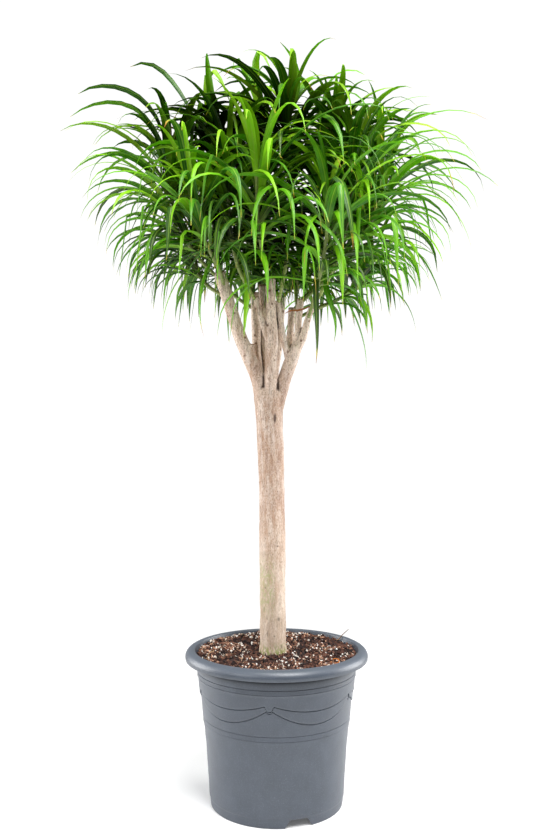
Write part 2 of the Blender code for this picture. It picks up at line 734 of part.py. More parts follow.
def add_socket_cutter(root, direction, collection):
    """A round hole along a shoot's exit, from just behind the shoot's base out through the bark."""
    radius = (STEM_BASE_RADIUS + GAP) / math.cos(math.pi / SOCKET_SIDES)
    length = 40 * MM
    mesh = bpy.data.meshes.new("socket_cutter")
    shape = bmesh.new()
    turn = direction.to_track_quat("Z", "Y").to_matrix().to_4x4()
    middle = root + direction * (length / 2 - GAP)
    bmesh.ops.create_cone(shape, cap_ends=True, segments=SOCKET_SIDES, radius1=radius, radius2=radius,
                          depth=length, matrix=Matrix.Translation(middle) @ turn)
    shape.to_mesh(mesh)
    shape.free()
    hide_helper(add_object("socket_cutter", mesh, collection))


def build_trunk(parts, stems):
    bark = make_material("pale_bark", (0.52, 0.40, 0.28), 0.85)
    limbs = make_collection("limbs")
    sockets = make_collection("sockets")
    trunk = add_tube("trunk", limb_points(TRUNK_LINE), limb_radii(TRUNK_LINE), parts,
                     TRUNK_SIDES_LEVEL)
    for name, line in LIMBS.items():
        add_tube(name, limb_points(line), limb_radii(line), limbs, LIMB_SIDES_LEVEL)
    join_with(trunk, limbs)
    for stem in stems.values():
        add_socket_cutter(stem[0], (stem[1] - stem[0]).normalized(), sockets)
    join_with(trunk, sockets, "DIFFERENCE")
    trunk.name = "trunk"
    trunk.data.materials.clear()
    trunk.data.materials.append(bark)
    shade(trunk, math.radians(50))


def build_shoot(parts, name, stem, leaves, foliage):
    blades = make_collection("blades")
    shoot = add_tube("shoot_" + name, stem, stem_radii(), parts, 1)
    for leaf in leaves:
        corners, faces = leaf_shell(leaf)
        mesh = bpy.data.meshes.new("blade")
        mesh.from_pydata(corners, [], faces)
        shape = bmesh.new()
        shape.from_mesh(mesh)
        bmesh.ops.recalc_face_normals(shape, faces=shape.faces)
        shape.to_mesh(mesh)
        shape.free()
        add_object("blade", mesh, blades)
    join_with(shoot, blades)
    shoot.name = "shoot_" + name
    shoot.data.materials.clear()
    shoot.data.materials.append(foliage)
    shade(shoot)


def main():
    clear_scene()
    parts = make_collection("potted_dracaena")
    foliage = make_material("dracaena_foliage", (0.10, 0.33, 0.02), 0.4)
    stems, leaves = lay_out_shoots()
    build_pot(parts)
    build_soil(parts)
    build_trunk(parts, stems)
    for name in SHOOTS:
        build_shoot(parts, name, stems[name], leaves[name], foliage)
    print("leaves placed:", sum(len(placed) for placed in leaves.values()))


main()
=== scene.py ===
# %% [markdown]
# # A potted dracaena, dressed over its solid model
#
# The plant is a branched dracaena in a round nursery pot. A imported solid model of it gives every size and
# place. These cells hide its plain solids behind finer pieces: a moulded pot with a draped border, crumbly
# potting mix, corky bark, and strap leaves that arch out of ringed green stems.

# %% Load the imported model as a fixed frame
import json
import math
import random

import bmesh
import bpy
import numpy as np
from mathutils import Matrix, Vector, noise
from mathutils.bvhtree import BVHTree

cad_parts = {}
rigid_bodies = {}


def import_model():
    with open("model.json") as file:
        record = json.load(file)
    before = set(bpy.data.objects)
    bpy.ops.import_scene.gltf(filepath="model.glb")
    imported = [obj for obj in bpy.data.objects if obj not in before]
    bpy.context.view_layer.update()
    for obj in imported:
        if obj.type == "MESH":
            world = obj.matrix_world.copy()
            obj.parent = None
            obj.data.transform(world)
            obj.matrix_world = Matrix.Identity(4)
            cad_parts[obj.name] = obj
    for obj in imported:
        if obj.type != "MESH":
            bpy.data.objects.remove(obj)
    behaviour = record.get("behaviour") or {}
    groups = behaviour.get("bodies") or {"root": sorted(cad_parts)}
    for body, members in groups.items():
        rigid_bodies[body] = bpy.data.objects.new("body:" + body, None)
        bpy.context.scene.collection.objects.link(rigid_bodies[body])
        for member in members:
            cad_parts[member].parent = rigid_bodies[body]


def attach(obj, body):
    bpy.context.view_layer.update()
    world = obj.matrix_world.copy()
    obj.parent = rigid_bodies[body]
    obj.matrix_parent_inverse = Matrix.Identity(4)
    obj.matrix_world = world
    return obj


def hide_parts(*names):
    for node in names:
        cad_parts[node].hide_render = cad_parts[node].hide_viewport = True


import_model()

MM = 0.001
UP = Vector((0, 0, 1))
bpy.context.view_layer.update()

# %% [markdown]
# ## Camera
#
# The photograph was taken level, from about half the plant's height and about 1.7 metres away. The ellipses
# of the pot's rim and foot fix the distance and the height, and the vertical lines stay vertical, so the
# camera isn't tilted.

# %% Camera
CAMERA_PLACE = (-3 * MM, -1715 * MM, 711 * MM)
PHOTO_HEIGHT_PX = 840
FOCAL_LENGTH_PX = 917
lens = bpy.data.cameras.new("camera")
lens.sensor_width = 36
lens.lens = FOCAL_LENGTH_PX / PHOTO_HEIGHT_PX * lens.sensor_width
camera = bpy.data.objects.new("camera", lens)
camera.location = CAMERA_PLACE
camera.rotation_euler = (math.pi / 2, 0, 0)
bpy.context.scene.collection.objects.link(camera)
bpy.context.scene.camera = camera
print("lens, mm:", round(lens.lens, 1))

# %% [markdown]
# ## Helpers for materials
#
# Paint charts and screens give colours as sRGB hex codes, and shaders want linear light, so one function
# turns the first into the second. One more adds any node, with its settings, its values and its links, so
# that a material reads as a short list.


# %% Helpers for materials
def linear(code):
    """A colour from its sRGB hex code, as the linear RGBA that shaders take."""
    parts = [int(code[i:i + 2], 16) / 255 for i in (1, 3, 5)]
    return (*(c / 12.92 if c <= 0.04045 else ((c + 0.055) / 1.055) ** 2.4 for c in parts), 1)


def add_node(tree, kind, inputs=None, stops=None, **settings):
    """A node with its settings, its values or links by socket, and a ramp's stops."""
    node = tree.nodes.new(kind)
    for key, value in settings.items():
        setattr(node, key, value)
    for key, value in (inputs or {}).items():
        if isinstance(value, bpy.types.NodeSocket):
            tree.links.new(value, node.inputs[key])
        else:
            node.inputs[key].default_value = value
    if stops:
        ramp = node.color_ramp.elements
        while len(ramp) < len(stops):
            ramp.new(1)
        for element, (place, colour) in zip(ramp, stops):
            element.position = place
            element.color = linear(colour) if isinstance(colour, str) else (colour, colour, colour, 1)
    return node


def new_material(name, values):
    """A material with a Principled shader that has these values, and its node tree."""
    material = bpy.data.materials.new(name)
    material.use_nodes = True
    shader = material.node_tree.nodes["Principled BSDF"]
    for key, value in values.items():
        shader.inputs[key].default_value = value
    return material, material.node_tree, shader


# %% [markdown]
# ## Helpers for pieces
#
# Geometry Nodes make whatever repeats or follows a line. A tree is built once, with a named input for each
# size, and is run on a mesh that carries the lines. The evaluated result becomes a plain mesh, so nothing
# live is left on the piece.


# %% Helpers for pieces
def new_tree(name, sockets):
    """A Geometry Nodes tree with these named inputs after its geometry, and its group input's sockets."""
    tree = bpy.data.node_groups.new(name, "GeometryNodeTree")
    tree.interface.new_socket("Geometry", in_out="INPUT", socket_type="NodeSocketGeometry")
    for label, kind in sockets.items():
        tree.interface.new_socket(label, in_out="INPUT", socket_type="NodeSocket" + kind)
    tree.interface.new_socket("Geometry", in_out="OUTPUT", socket_type="NodeSocketGeometry")
    return tree, tree.nodes.new("NodeGroupInput").outputs


def link_object(name, mesh):
    item = bpy.data.objects.new(name, mesh)
    bpy.context.scene.collection.objects.link(item)
    return item


def shape_object(name, shape):
    """An object from a bmesh, which is freed."""
    mesh = bpy.data.meshes.new(name)
    shape.to_mesh(mesh)
    shape.free()
    return link_object(name, mesh)


def settle(item):
    """Swap an object's mesh for what its modifiers make of it, and drop the modifiers."""
    depsgraph = bpy.context.evaluated_depsgraph_get()
    evaluated = item.evaluated_get(depsgraph)
    mesh = bpy.data.meshes.new_from_object(evaluated, preserve_all_data_layers=True, depsgraph=depsgraph)
    item.modifiers.clear()
    item.data = mesh
    return item


def grow(name, tree, mesh, values):
    """Run a tree on a mesh, with its inputs set by identifier, and return a plain mesh object."""
    item = link_object(name, mesh)
    modifier = item.modifiers.new("grow", "NODES")
    modifier.node_group = tree
    for socket in tree.interface.items_tree:
        if socket.in_out == "INPUT" and socket.name in values:
            modifier[socket.identifier] = values[socket.name]
    return settle(item)


def line_mesh(name, lines, **attributes):
    """Open polylines as one mesh of edges, with values for each point."""
    mesh = bpy.data.meshes.new(name)
    points = [point for line in lines for point in line]
    edges = []
    start = 0
    for line in lines:
        edges.extend((start + i, start + i + 1) for i in range(len(line) - 1))
        start += len(line)
    mesh.from_pydata(points, edges, [])
    for key, values in attributes.items():
        is_vector = isinstance(values[0], Vector)
        layer = mesh.attributes.new(key, "FLOAT_VECTOR" if is_vector else "FLOAT", "POINT")
        flat = np.array(values, np.float32).ravel()
        layer.data.foreach_set("vector" if is_vector else "value", flat)
    return mesh


def finish_piece(item, slot, *nodes, sharp=40):
    """Shade a finished piece, let it ride on the body, and hide the solid nodes that it stands for."""
    item.data.shade_smooth()
    item.data.set_sharp_from_angle(angle=math.radians(sharp))
    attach(item, "root")
    if nodes:
        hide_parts(*nodes)
    item.data.calc_loop_triangles()
    print(item.name, "triangles:", len(item.data.loop_triangles))


# %% [markdown]
# ## The pot's plastic
#
# Nursery pots are injection moulded in polypropylene. The mould leaves a satin skin with faint vertical flow
# lines, and handling leaves pale dust. Faces that look up are painted lighter as a painted highlight, and the
# collar just under the rim is painted dark as a painted shadow. The pattern is soft, so that the colour still
# reads as one blue-grey from a step away.


# %% Moulded polypropylene
def moulded_polypropylene():
    """Satin blue-grey plastic: mottling, grain, dust, a painted highlight on faces that look up, and a
    painted shadow in the corner under the rim.
    """
    material, tree, shader = new_material("moulded_polypropylene", {
        "Roughness": 0.4, "IOR": 1.49})
    place = add_node(tree, "ShaderNodeTexCoord").outputs["Object"]
    mottle = add_node(tree, "ShaderNodeTexNoise", {"Vector": place, "Scale": 1 / (28 * MM), "Detail": 4})
    run = add_node(tree, "ShaderNodeMapping", {"Vector": place, "Scale": (1 / (5 * MM), 1 / (5 * MM), 6)})
    streak = add_node(tree, "ShaderNodeTexNoise", {"Vector": run.outputs[0], "Scale": 1, "Detail": 3})
    speck = add_node(tree, "ShaderNodeTexNoise", {"Vector": place, "Scale": 1 / (1.6 * MM), "Detail": 1})
    both = add_node(tree, "ShaderNodeMix", {0: 0.2, 2: mottle.outputs[0], 3: streak.outputs[0]})
    colour = add_node(tree, "ShaderNodeValToRGB", {0: both.outputs[0]},
                      stops=[(0.3, "#2e3743"), (0.5, "#333c49"), (0.7, "#39424f")])
    dust = add_node(tree, "ShaderNodeValToRGB", {0: speck.outputs[0]}, stops=[(0.7, 0.0), (0.82, 0.3)])
    dusted = add_node(tree, "ShaderNodeMix", {0: dust.outputs[0], 6: colour.outputs[0],
                                              7: linear("#979da6")}, data_type="RGBA")
    grain = add_node(tree, "ShaderNodeTexNoise", {"Vector": place, "Scale": 1 / (2.2 * MM), "Detail": 3})
    worn = add_node(tree, "ShaderNodeValToRGB", {0: grain.outputs[0]}, stops=[(0.5, 0.0), (0.75, 0.2)])
    grained = add_node(tree, "ShaderNodeMix", {0: worn.outputs[0], 6: dusted.outputs[2],
                                               7: linear("#646c78")}, data_type="RGBA")
    # Painted highlight: faces that look up are painted lighter, standing in for light from the lamps above.
    facing = add_node(tree, "ShaderNodeNewGeometry").outputs["Normal"]
    upward = add_node(tree, "ShaderNodeSeparateXYZ", {0: facing}).outputs[2]
    painted_top_light = add_node(tree, "ShaderNodeMapRange", {0: upward, 1: 0.05, 2: 0.7, 4: 0.36})
    with_painted_top_light = add_node(tree, "ShaderNodeMix", {0: painted_top_light.outputs[0], 6: grained.outputs[2],
                                               7: linear("#7f8793")}, data_type="RGBA")
    # Painted shadow: the collar just under the rim is painted near black, and its gloss lowered, where the
    # rim shades it.
    height = add_node(tree, "ShaderNodeSeparateXYZ", {0: place}).outputs[2]
    corner = add_node(tree, "ShaderNodeValToRGB", {0: add_node(tree, "ShaderNodeMapRange", {
        0: height, 1: 246 * MM, 2: 266 * MM}).outputs[0]}, stops=[(0.25, 0.0), (0.5, 0.3), (0.75, 0.9)])
    painted_rim_shadow = add_node(tree, "ShaderNodeMath", {0: corner.outputs[0], 1: add_node(
        tree, "ShaderNodeMath", {0: height, 1: 267 * MM}, operation="LESS_THAN").outputs[0]},
        operation="MULTIPLY")
    with_painted_rim_shadow = add_node(tree, "ShaderNodeMix", {0: painted_rim_shadow.outputs[0], 6: with_painted_top_light.outputs[2],
                                              7: linear("#15181c")}, data_type="RGBA")
    tree.links.new(with_painted_rim_shadow.outputs[2], shader.inputs["Base Color"])
    sheen = add_node(tree, "ShaderNodeMapRange", {0: painted_rim_shadow.outputs[0], 3: 0.85, 4: 0.1})
    tree.links.new(sheen.outputs[0], shader.inputs["Specular IOR Level"])
    bump = add_node(tree, "ShaderNodeBump", {"Height": grain.outputs[0], "Strength": 0.25,
                                             "Distance": 0.25 * MM})
    tree.links.new(bump.outputs[0], shader.inputs["Normal"])
    return material


pot_plastic = moulded_polypropylene()

# %% [markdown]
# ## The pot's outline
#
# A pot is turned: one outline, swept round the axis. It runs out over the floor, up the inside, over the
# rolled rim, down the outside past two pairs of fine grooves, and back under the floor. Each point also
# carries how far it follows the two draped edges, so the same sweep can pull those edges into swags.

# %% Outline of the pot
RIM_RADIUS = 170 * MM
WALL = 3 * MM
FOOT_RADIUS = 122 * MM
FOOT_HEIGHT = 16.5 * MM
COLLAR_RADIUS = 148 * MM
COLLAR_BOTTOM = 236 * MM
COLLAR_TOP = 266 * MM
VALANCE_EDGE = 222 * MM
SWAG_EDGE = 214.1 * MM
STEP_TOP = 164 * MM
STEP_BOTTOM = 155 * MM


def arc(centre_r, centre_z, radius_r, radius_z, start, end, steps):
    """Points on an arc of the outline, in degrees from straight out."""
    points = []
    for i in range(steps + 1):
        angle = math.radians(start + (end - start) * i / steps)
        points.append((centre_r + radius_r * math.cos(angle), centre_z + radius_z * math.sin(angle), 0, 0))
    return points


def rows(top, bottom, count):
    """Points between two outline points, with their drape weights shared out evenly."""
    return [tuple(a + (b - a) * i / count for a, b in zip(top, bottom)) for i in range(1, count)]


def groove(radius, height, below):
    """A fine groove, 1.3 mm deep, with the radius that the wall has below it."""
    return [(radius, height + 0.6 * MM, 0, 0), (radius - 1.3 * MM, height + 0.3 * MM, 0, 0),
            (radius - 1.3 * MM, height - 0.3 * MM, 0, 0), (below, height - 0.7 * MM, 0, 0)]


def pot_outline():
    """(radius, height, valance weight, swag weight) down the whole wall."""
    floor = FOOT_HEIGHT + WALL
    inside = [(0, floor, 0, 0), (60 * MM, floor, 0, 0), (120.2 * MM, floor, 0, 0),
              (121.6 * MM, floor + 0.6 * MM, 0, 0), (122.2 * MM, floor + 2 * MM, 0, 0),
              (133 * MM, STEP_BOTTOM, 0, 0), (139.8 * MM, COLLAR_BOTTOM, 0, 0),
              (145 * MM, COLLAR_TOP, 0, 0), (149.8 * MM, 277 * MM, 0, 0), (151.4 * MM, 281 * MM, 0, 0)]
    rim = arc(154.6 * MM, 283.2 * MM, 2.8 * MM, 2.8 * MM, 175, 95, 5)
    rim += arc(155.6 * MM, 273 * MM, 14.4 * MM, 13.1 * MM, 88, -8, 15)
    skirt = RIM_RADIUS - 0.4 * MM
    rim += [(skirt, 268.6 * MM, 0, 0), (skirt - 0.4 * MM, 267.8 * MM, 0, 0),
            (skirt - 1.4 * MM, 267.6 * MM, 0, 0), (skirt - WALL, 268.4 * MM, 0, 0),
            (skirt - WALL, 275 * MM, 0, 0), (COLLAR_RADIUS + 4 * MM, 277 * MM, 0, 0),
            (COLLAR_RADIUS, COLLAR_TOP, 0, 0)]
    collar = groove(COLLAR_RADIUS, 247 * MM, 147.8 * MM) + groove(147.8 * MM, 238.6 * MM, 147.2 * MM)
    valance_top = (146.2 * MM, COLLAR_BOTTOM, 0, 0)
    valance_edge = (145.2 * MM, VALANCE_EDGE + 0.9 * MM, 1, 0)
    swag_top = (143.5 * MM, VALANCE_EDGE - 1.7 * MM, 1, 0)
    swag_edge = (142.9 * MM, SWAG_EDGE + 0.9 * MM, 0, 1)
    wall_top = (141.2 * MM, SWAG_EDGE - 2.0 * MM, 0, 1)
    wall_foot = (138.3 * MM, 176 * MM, 0, 0)
    drape = [valance_top, *rows(valance_top, valance_edge, 6), valance_edge,
             (144.9 * MM, VALANCE_EDGE + 0.2 * MM, 1, 0), (141.7 * MM, VALANCE_EDGE - 0.2 * MM, 1, 0),
             (141.7 * MM, VALANCE_EDGE - 1.0 * MM, 1, 0),
             swag_top, *rows(swag_top, swag_edge, 5), swag_edge,
             (142.5 * MM, SWAG_EDGE + 0.2 * MM, 0, 1), (139.8 * MM, SWAG_EDGE - 0.2 * MM, 0, 1),
             (139.8 * MM, SWAG_EDGE - 1.2 * MM, 0, 1),
             wall_top, *rows(wall_top, wall_foot, 8), wall_foot]
    lower = groove(137.5 * MM, STEP_TOP, 136.9 * MM) + groove(136.8 * MM, STEP_BOTTOM, 135.9 * MM)
    body = [(134.2, 142.5), (132.5, 125), (130.8, 109), (129.0, 80), (127.2, 55), (126.0, 38),
            (125.2, 20), (124.9, 17.4), (124.3, 16.6), (124.0, 15.6), (123.4, 8), (122.4, 0.8)]
    foot = [(r * MM, z * MM, 0, 0) for r, z in body]
    foot += [(FOOT_RADIUS - 0.6 * MM, 0, 0, 0), (FOOT_RADIUS - WALL + 0.5 * MM, 0, 0, 0),
             (FOOT_RADIUS - WALL, 0.5 * MM, 0, 0), (FOOT_RADIUS - WALL, FOOT_HEIGHT - 1 * MM, 0, 0),
             (60 * MM, FOOT_HEIGHT - 1 * MM, 0, 0), (0, FOOT_HEIGHT - 1 * MM, 0, 0)]
    return inside + rim + collar + drape + lower + foot


outline = pot_outline()
print("outline points:", len(outline))

# %% [markdown]
# ## Sweeping the pot and hanging its swags
#
# The border under the collar is a traditional drapery: five spans between five small knots. Over one span,
# an edge falls by its dip times a parabola. At a knot the upper edge has a small tab. Geometry Nodes sweep
# the outline round a circle, then move each point down by the share that it carries.


# %% How far each point of the border falls
KNOT_RADIUS = 145 * MM
# Each step: its result, its operation and two values, each a number or the name of what is known by then
DRAPE_STEPS = [
    ("to the front", "MULTIPLY", "y", -1), ("turn", "ARCTAN2", "x", "to the front"),
    ("past knot", "SUBTRACT", "turn", "Knot Turn"), ("per turn", "DIVIDE", "Swags", 2 * math.pi),
    ("spans", "MULTIPLY", "past knot", "per turn"), ("share", "FRACT", "spans", 0),
    ("doubled", "MULTIPLY", "share", 2), ("from middle", "SUBTRACT", "doubled", 1),
    ("squared", "MULTIPLY", "from middle", "from middle"), ("fall", "SUBTRACT", 1, "squared"),
    ("rest", "SUBTRACT", 1, "share"), ("nearest", "MINIMUM", "share", "rest"),
    ("part", "DIVIDE", "nearest", "Swags"), ("off knot", "MULTIPLY", "part", 2 * math.pi * KNOT_RADIUS),
    ("knot top", "SUBTRACT", "Knot Half Width", "Knot Slope"),
    ("valance fall", "MULTIPLY", "fall", "Valance Dip"), ("knot fall", "MULTIPLY", "tab", "Knot Drop"),
    ("valance", "MAXIMUM", "valance fall", "knot fall"), ("swag fall", "MULTIPLY", "fall", "Swag Dip"),
    ("below valance", "SUBTRACT", "valance", "Edge Spacing"),
    ("swag", "MAXIMUM", "swag fall", "below valance"),
    ("valance drop", "MULTIPLY", "valance", "valance weight"),
    ("swag drop", "MULTIPLY", "swag", "swag weight"), ("drop", "ADD", "valance drop", "swag drop"),
    ("down", "MULTIPLY", "drop", -1), ("inward", "MULTIPLY", "down", "Wall Slope"),
]


# %% The tree that sweeps the pot
WELD = 0.01 * MM


def pot_tree():
    tree, given = new_tree("sweep_and_drape", {
        "Columns": "Int", "Path Radius": "Float", "Swags": "Float", "Knot Turn": "Float",
        "Valance Dip": "Float", "Swag Dip": "Float", "Knot Half Width": "Float", "Knot Slope": "Float",
        "Knot Drop": "Float", "Edge Spacing": "Float", "Wall Slope": "Float", "Material": "Material"})
    ring = add_node(tree, "GeometryNodeCurvePrimitiveCircle", {"Resolution": given["Columns"],
                                                               "Radius": given["Path Radius"]})
    outward = add_node(tree, "GeometryNodeInputPosition").outputs[0]
    path = add_node(tree, "GeometryNodeSetCurveNormal", {0: ring.outputs[0], 2: outward}, mode="FREE")
    profile = add_node(tree, "GeometryNodeMeshToCurve", {0: given["Geometry"]})
    swept = add_node(tree, "GeometryNodeCurveToMesh", {0: path.outputs[0], 1: profile.outputs[0]})
    x, y, _ = add_node(tree, "ShaderNodeSeparateXYZ", {0: outward}).outputs
    tab = add_node(tree, "ShaderNodeMapRange", {2: given["Knot Half Width"], 3: 1.0, 4: 0.0},
                   interpolation_type="SMOOTHSTEP")
    values = dict(given.items(), x=x, y=y, tab=tab.outputs[0])
    for weight in ("valance", "swag"):
        values[weight + " weight"] = add_node(tree, "GeometryNodeInputNamedAttribute",
                                              {"Name": weight}).outputs[0]
    for result, operation, first, second in DRAPE_STEPS:
        values[result] = add_node(tree, "ShaderNodeMath", {
            0: values.get(first, first), 1: values.get(second, second)}, operation=operation).outputs[0]
    tree.links.new(values["off knot"], tab.inputs[0])
    tree.links.new(values["knot top"], tab.inputs[1])
    flat = add_node(tree, "ShaderNodeCombineXYZ", {0: x, 1: y})
    away = add_node(tree, "ShaderNodeVectorMath", {0: flat.outputs[0]}, operation="NORMALIZE")
    inward = add_node(tree, "ShaderNodeVectorMath", {0: away.outputs[0], "Scale": values["inward"]},
                      operation="SCALE")
    fallen = add_node(tree, "ShaderNodeCombineXYZ", {2: values["down"]})
    offset = add_node(tree, "ShaderNodeVectorMath", {0: inward.outputs[0], 1: fallen.outputs[0]})
    draped = add_node(tree, "GeometryNodeSetPosition", {0: swept.outputs[0], "Offset": offset.outputs[0]})
    welded = add_node(tree, "GeometryNodeMergeByDistance", {0: draped.outputs[0], "Distance": WELD})
    realised = add_node(tree, "GeometryNodeRealizeInstances", {0: welded.outputs[0]})
    dressed = add_node(tree, "GeometryNodeSetMaterial", {0: realised.outputs[0],
                                                         "Material": given["Material"]})
    add_node(tree, "NodeGroupOutput", {0: dressed.outputs[0]})
    return tree


# %% Sweep the pot
PATH_RADIUS = 100 * MM
SWAGS = 5
profile_points = [(r - PATH_RADIUS, -z, 0) for r, z, _, _ in outline]
profile_mesh = line_mesh("pot_outline", [profile_points], valance=[point[2] for point in outline],
                         swag=[point[3] for point in outline])
pot = grow("nursery_pot", pot_tree(), profile_mesh, {
    "Columns": 120 * SWAGS, "Path Radius": PATH_RADIUS, "Swags": float(SWAGS),
    "Knot Turn": math.radians(-5.2), "Valance Dip": 14.9 * MM, "Swag Dip": 30.9 * MM,
    "Knot Half Width": 11 * MM, "Knot Slope": 9 * MM, "Knot Drop": 12 * MM, "Edge Spacing": 4.6 * MM,
    "Wall Slope": 0.075, "Material": pot_plastic})
print("pot faces:", len(pot.data.polygons))

# %% [markdown]
# ## Notches and drain holes
#
# Water has to leave the pot, so the foot skirt is opened in three places and the floor has six holes. Both
# are plain cuts, which a Boolean makes cleanly. The cutters are prisms and cylinders.

# %% Cut the notches and the drain holes
NOTCHES = 3
NOTCH_TURN = math.radians(18.5)
NOTCH_WIDTHS = (51 * MM, 32 * MM)
DRAINS = 6
DRAIN_RADIUS = 6 * MM
DRAIN_CIRCLE = 80 * MM


def notch_cutter(turn):
    """A prism with sloping sides, across the foot skirt."""
    wide, narrow = (width / 2 for width in NOTCH_WIDTHS)
    low, high = -5 * MM, FOOT_HEIGHT - 1 * MM
    wide += (wide - narrow) / high * -low
    shape = bmesh.new()
    corners = [(-wide, low), (wide, low), (narrow, high), (-narrow, high)]
    face = shape.faces.new([shape.verts.new((x, -FOOT_RADIUS + 12 * MM, z)) for x, z in corners])
    moved = bmesh.ops.extrude_face_region(shape, geom=[face])["geom"]
    ends = [part for part in moved if isinstance(part, bmesh.types.BMVert)]
    bmesh.ops.translate(shape, verts=ends, vec=(0, -24 * MM, 0))
    bmesh.ops.recalc_face_normals(shape, faces=shape.faces)
    bmesh.ops.rotate(shape, verts=shape.verts, matrix=Matrix.Rotation(turn, 3, "Z"))
    return shape


def drain_cutter(turn):
    shape = bmesh.new()
    place = Matrix.Rotation(turn, 4, "Z") @ Matrix.Translation((0, -DRAIN_CIRCLE, FOOT_HEIGHT))
    bmesh.ops.create_cone(shape, cap_ends=True, segments=32, radius1=DRAIN_RADIUS, radius2=DRAIN_RADIUS,
                          depth=18 * MM, matrix=place)
    return shape


cutters = bpy.data.collections.new("cutters")
shapes = [notch_cutter(NOTCH_TURN + 2 * math.pi * i / NOTCHES) for i in range(NOTCHES)]
shapes += [drain_cutter(NOTCH_TURN + 2 * math.pi * i / DRAINS) for i in range(DRAINS)]
for shape in shapes:
    cutters.objects.link(shape_object("cutter", shape))
cut = pot.modifiers.new("cut", "BOOLEAN")
cut.operation = "DIFFERENCE"
cut.solver = "MANIFOLD"
cut.operand_type = "COLLECTION"
cut.collection = cutters
settle(pot)
for cutter in list(cutters.objects):
    bpy.data.objects.remove(cutter)
bpy.data.collections.remove(cutters)
finish_piece(pot, "pot_plastic", "pot", sharp=32)

# %% [markdown]
# ## Bark
#
# Dracaena bark is thin, corky and pale, tan with a pinkish cast. Fine dark fissures run along the stem,
# brown dots mark old leaf scars on the young limbs, a few small holes show in the old trunk as dark spots of
# painted shade, and green algae gather low down on the left and at the soil. A noise that is stretched along
# the stem gives the grain and the fissures, and small cells give the dots. The young limbs are painted
# lighter, partly for their paler young bark and partly as painted light where the crown shades them.
# Painted shade darkens the creases, which an attribute marks.


# %% Corky bark
# Each hole is painted as a dark spot, the shade inside it: its place on the bark and its radius in
# millimetres, and how tall it is for its width
BARK_HOLES = [(-3, -25, 714, 1.9, 3.2), (4, -23, 343, 1.8, 1.3), (2, -24, 478, 1.0, 1.2),
              (-21, -19, 401, 1.1, 1.2), (-4, -26, 312, 1.1, 1.2), (-17, -24, 316, 1.0, 4.5),
              (-23, -17, 360, 0.9, 4.0), (9, -20, 292, 0.8, 4.0)]


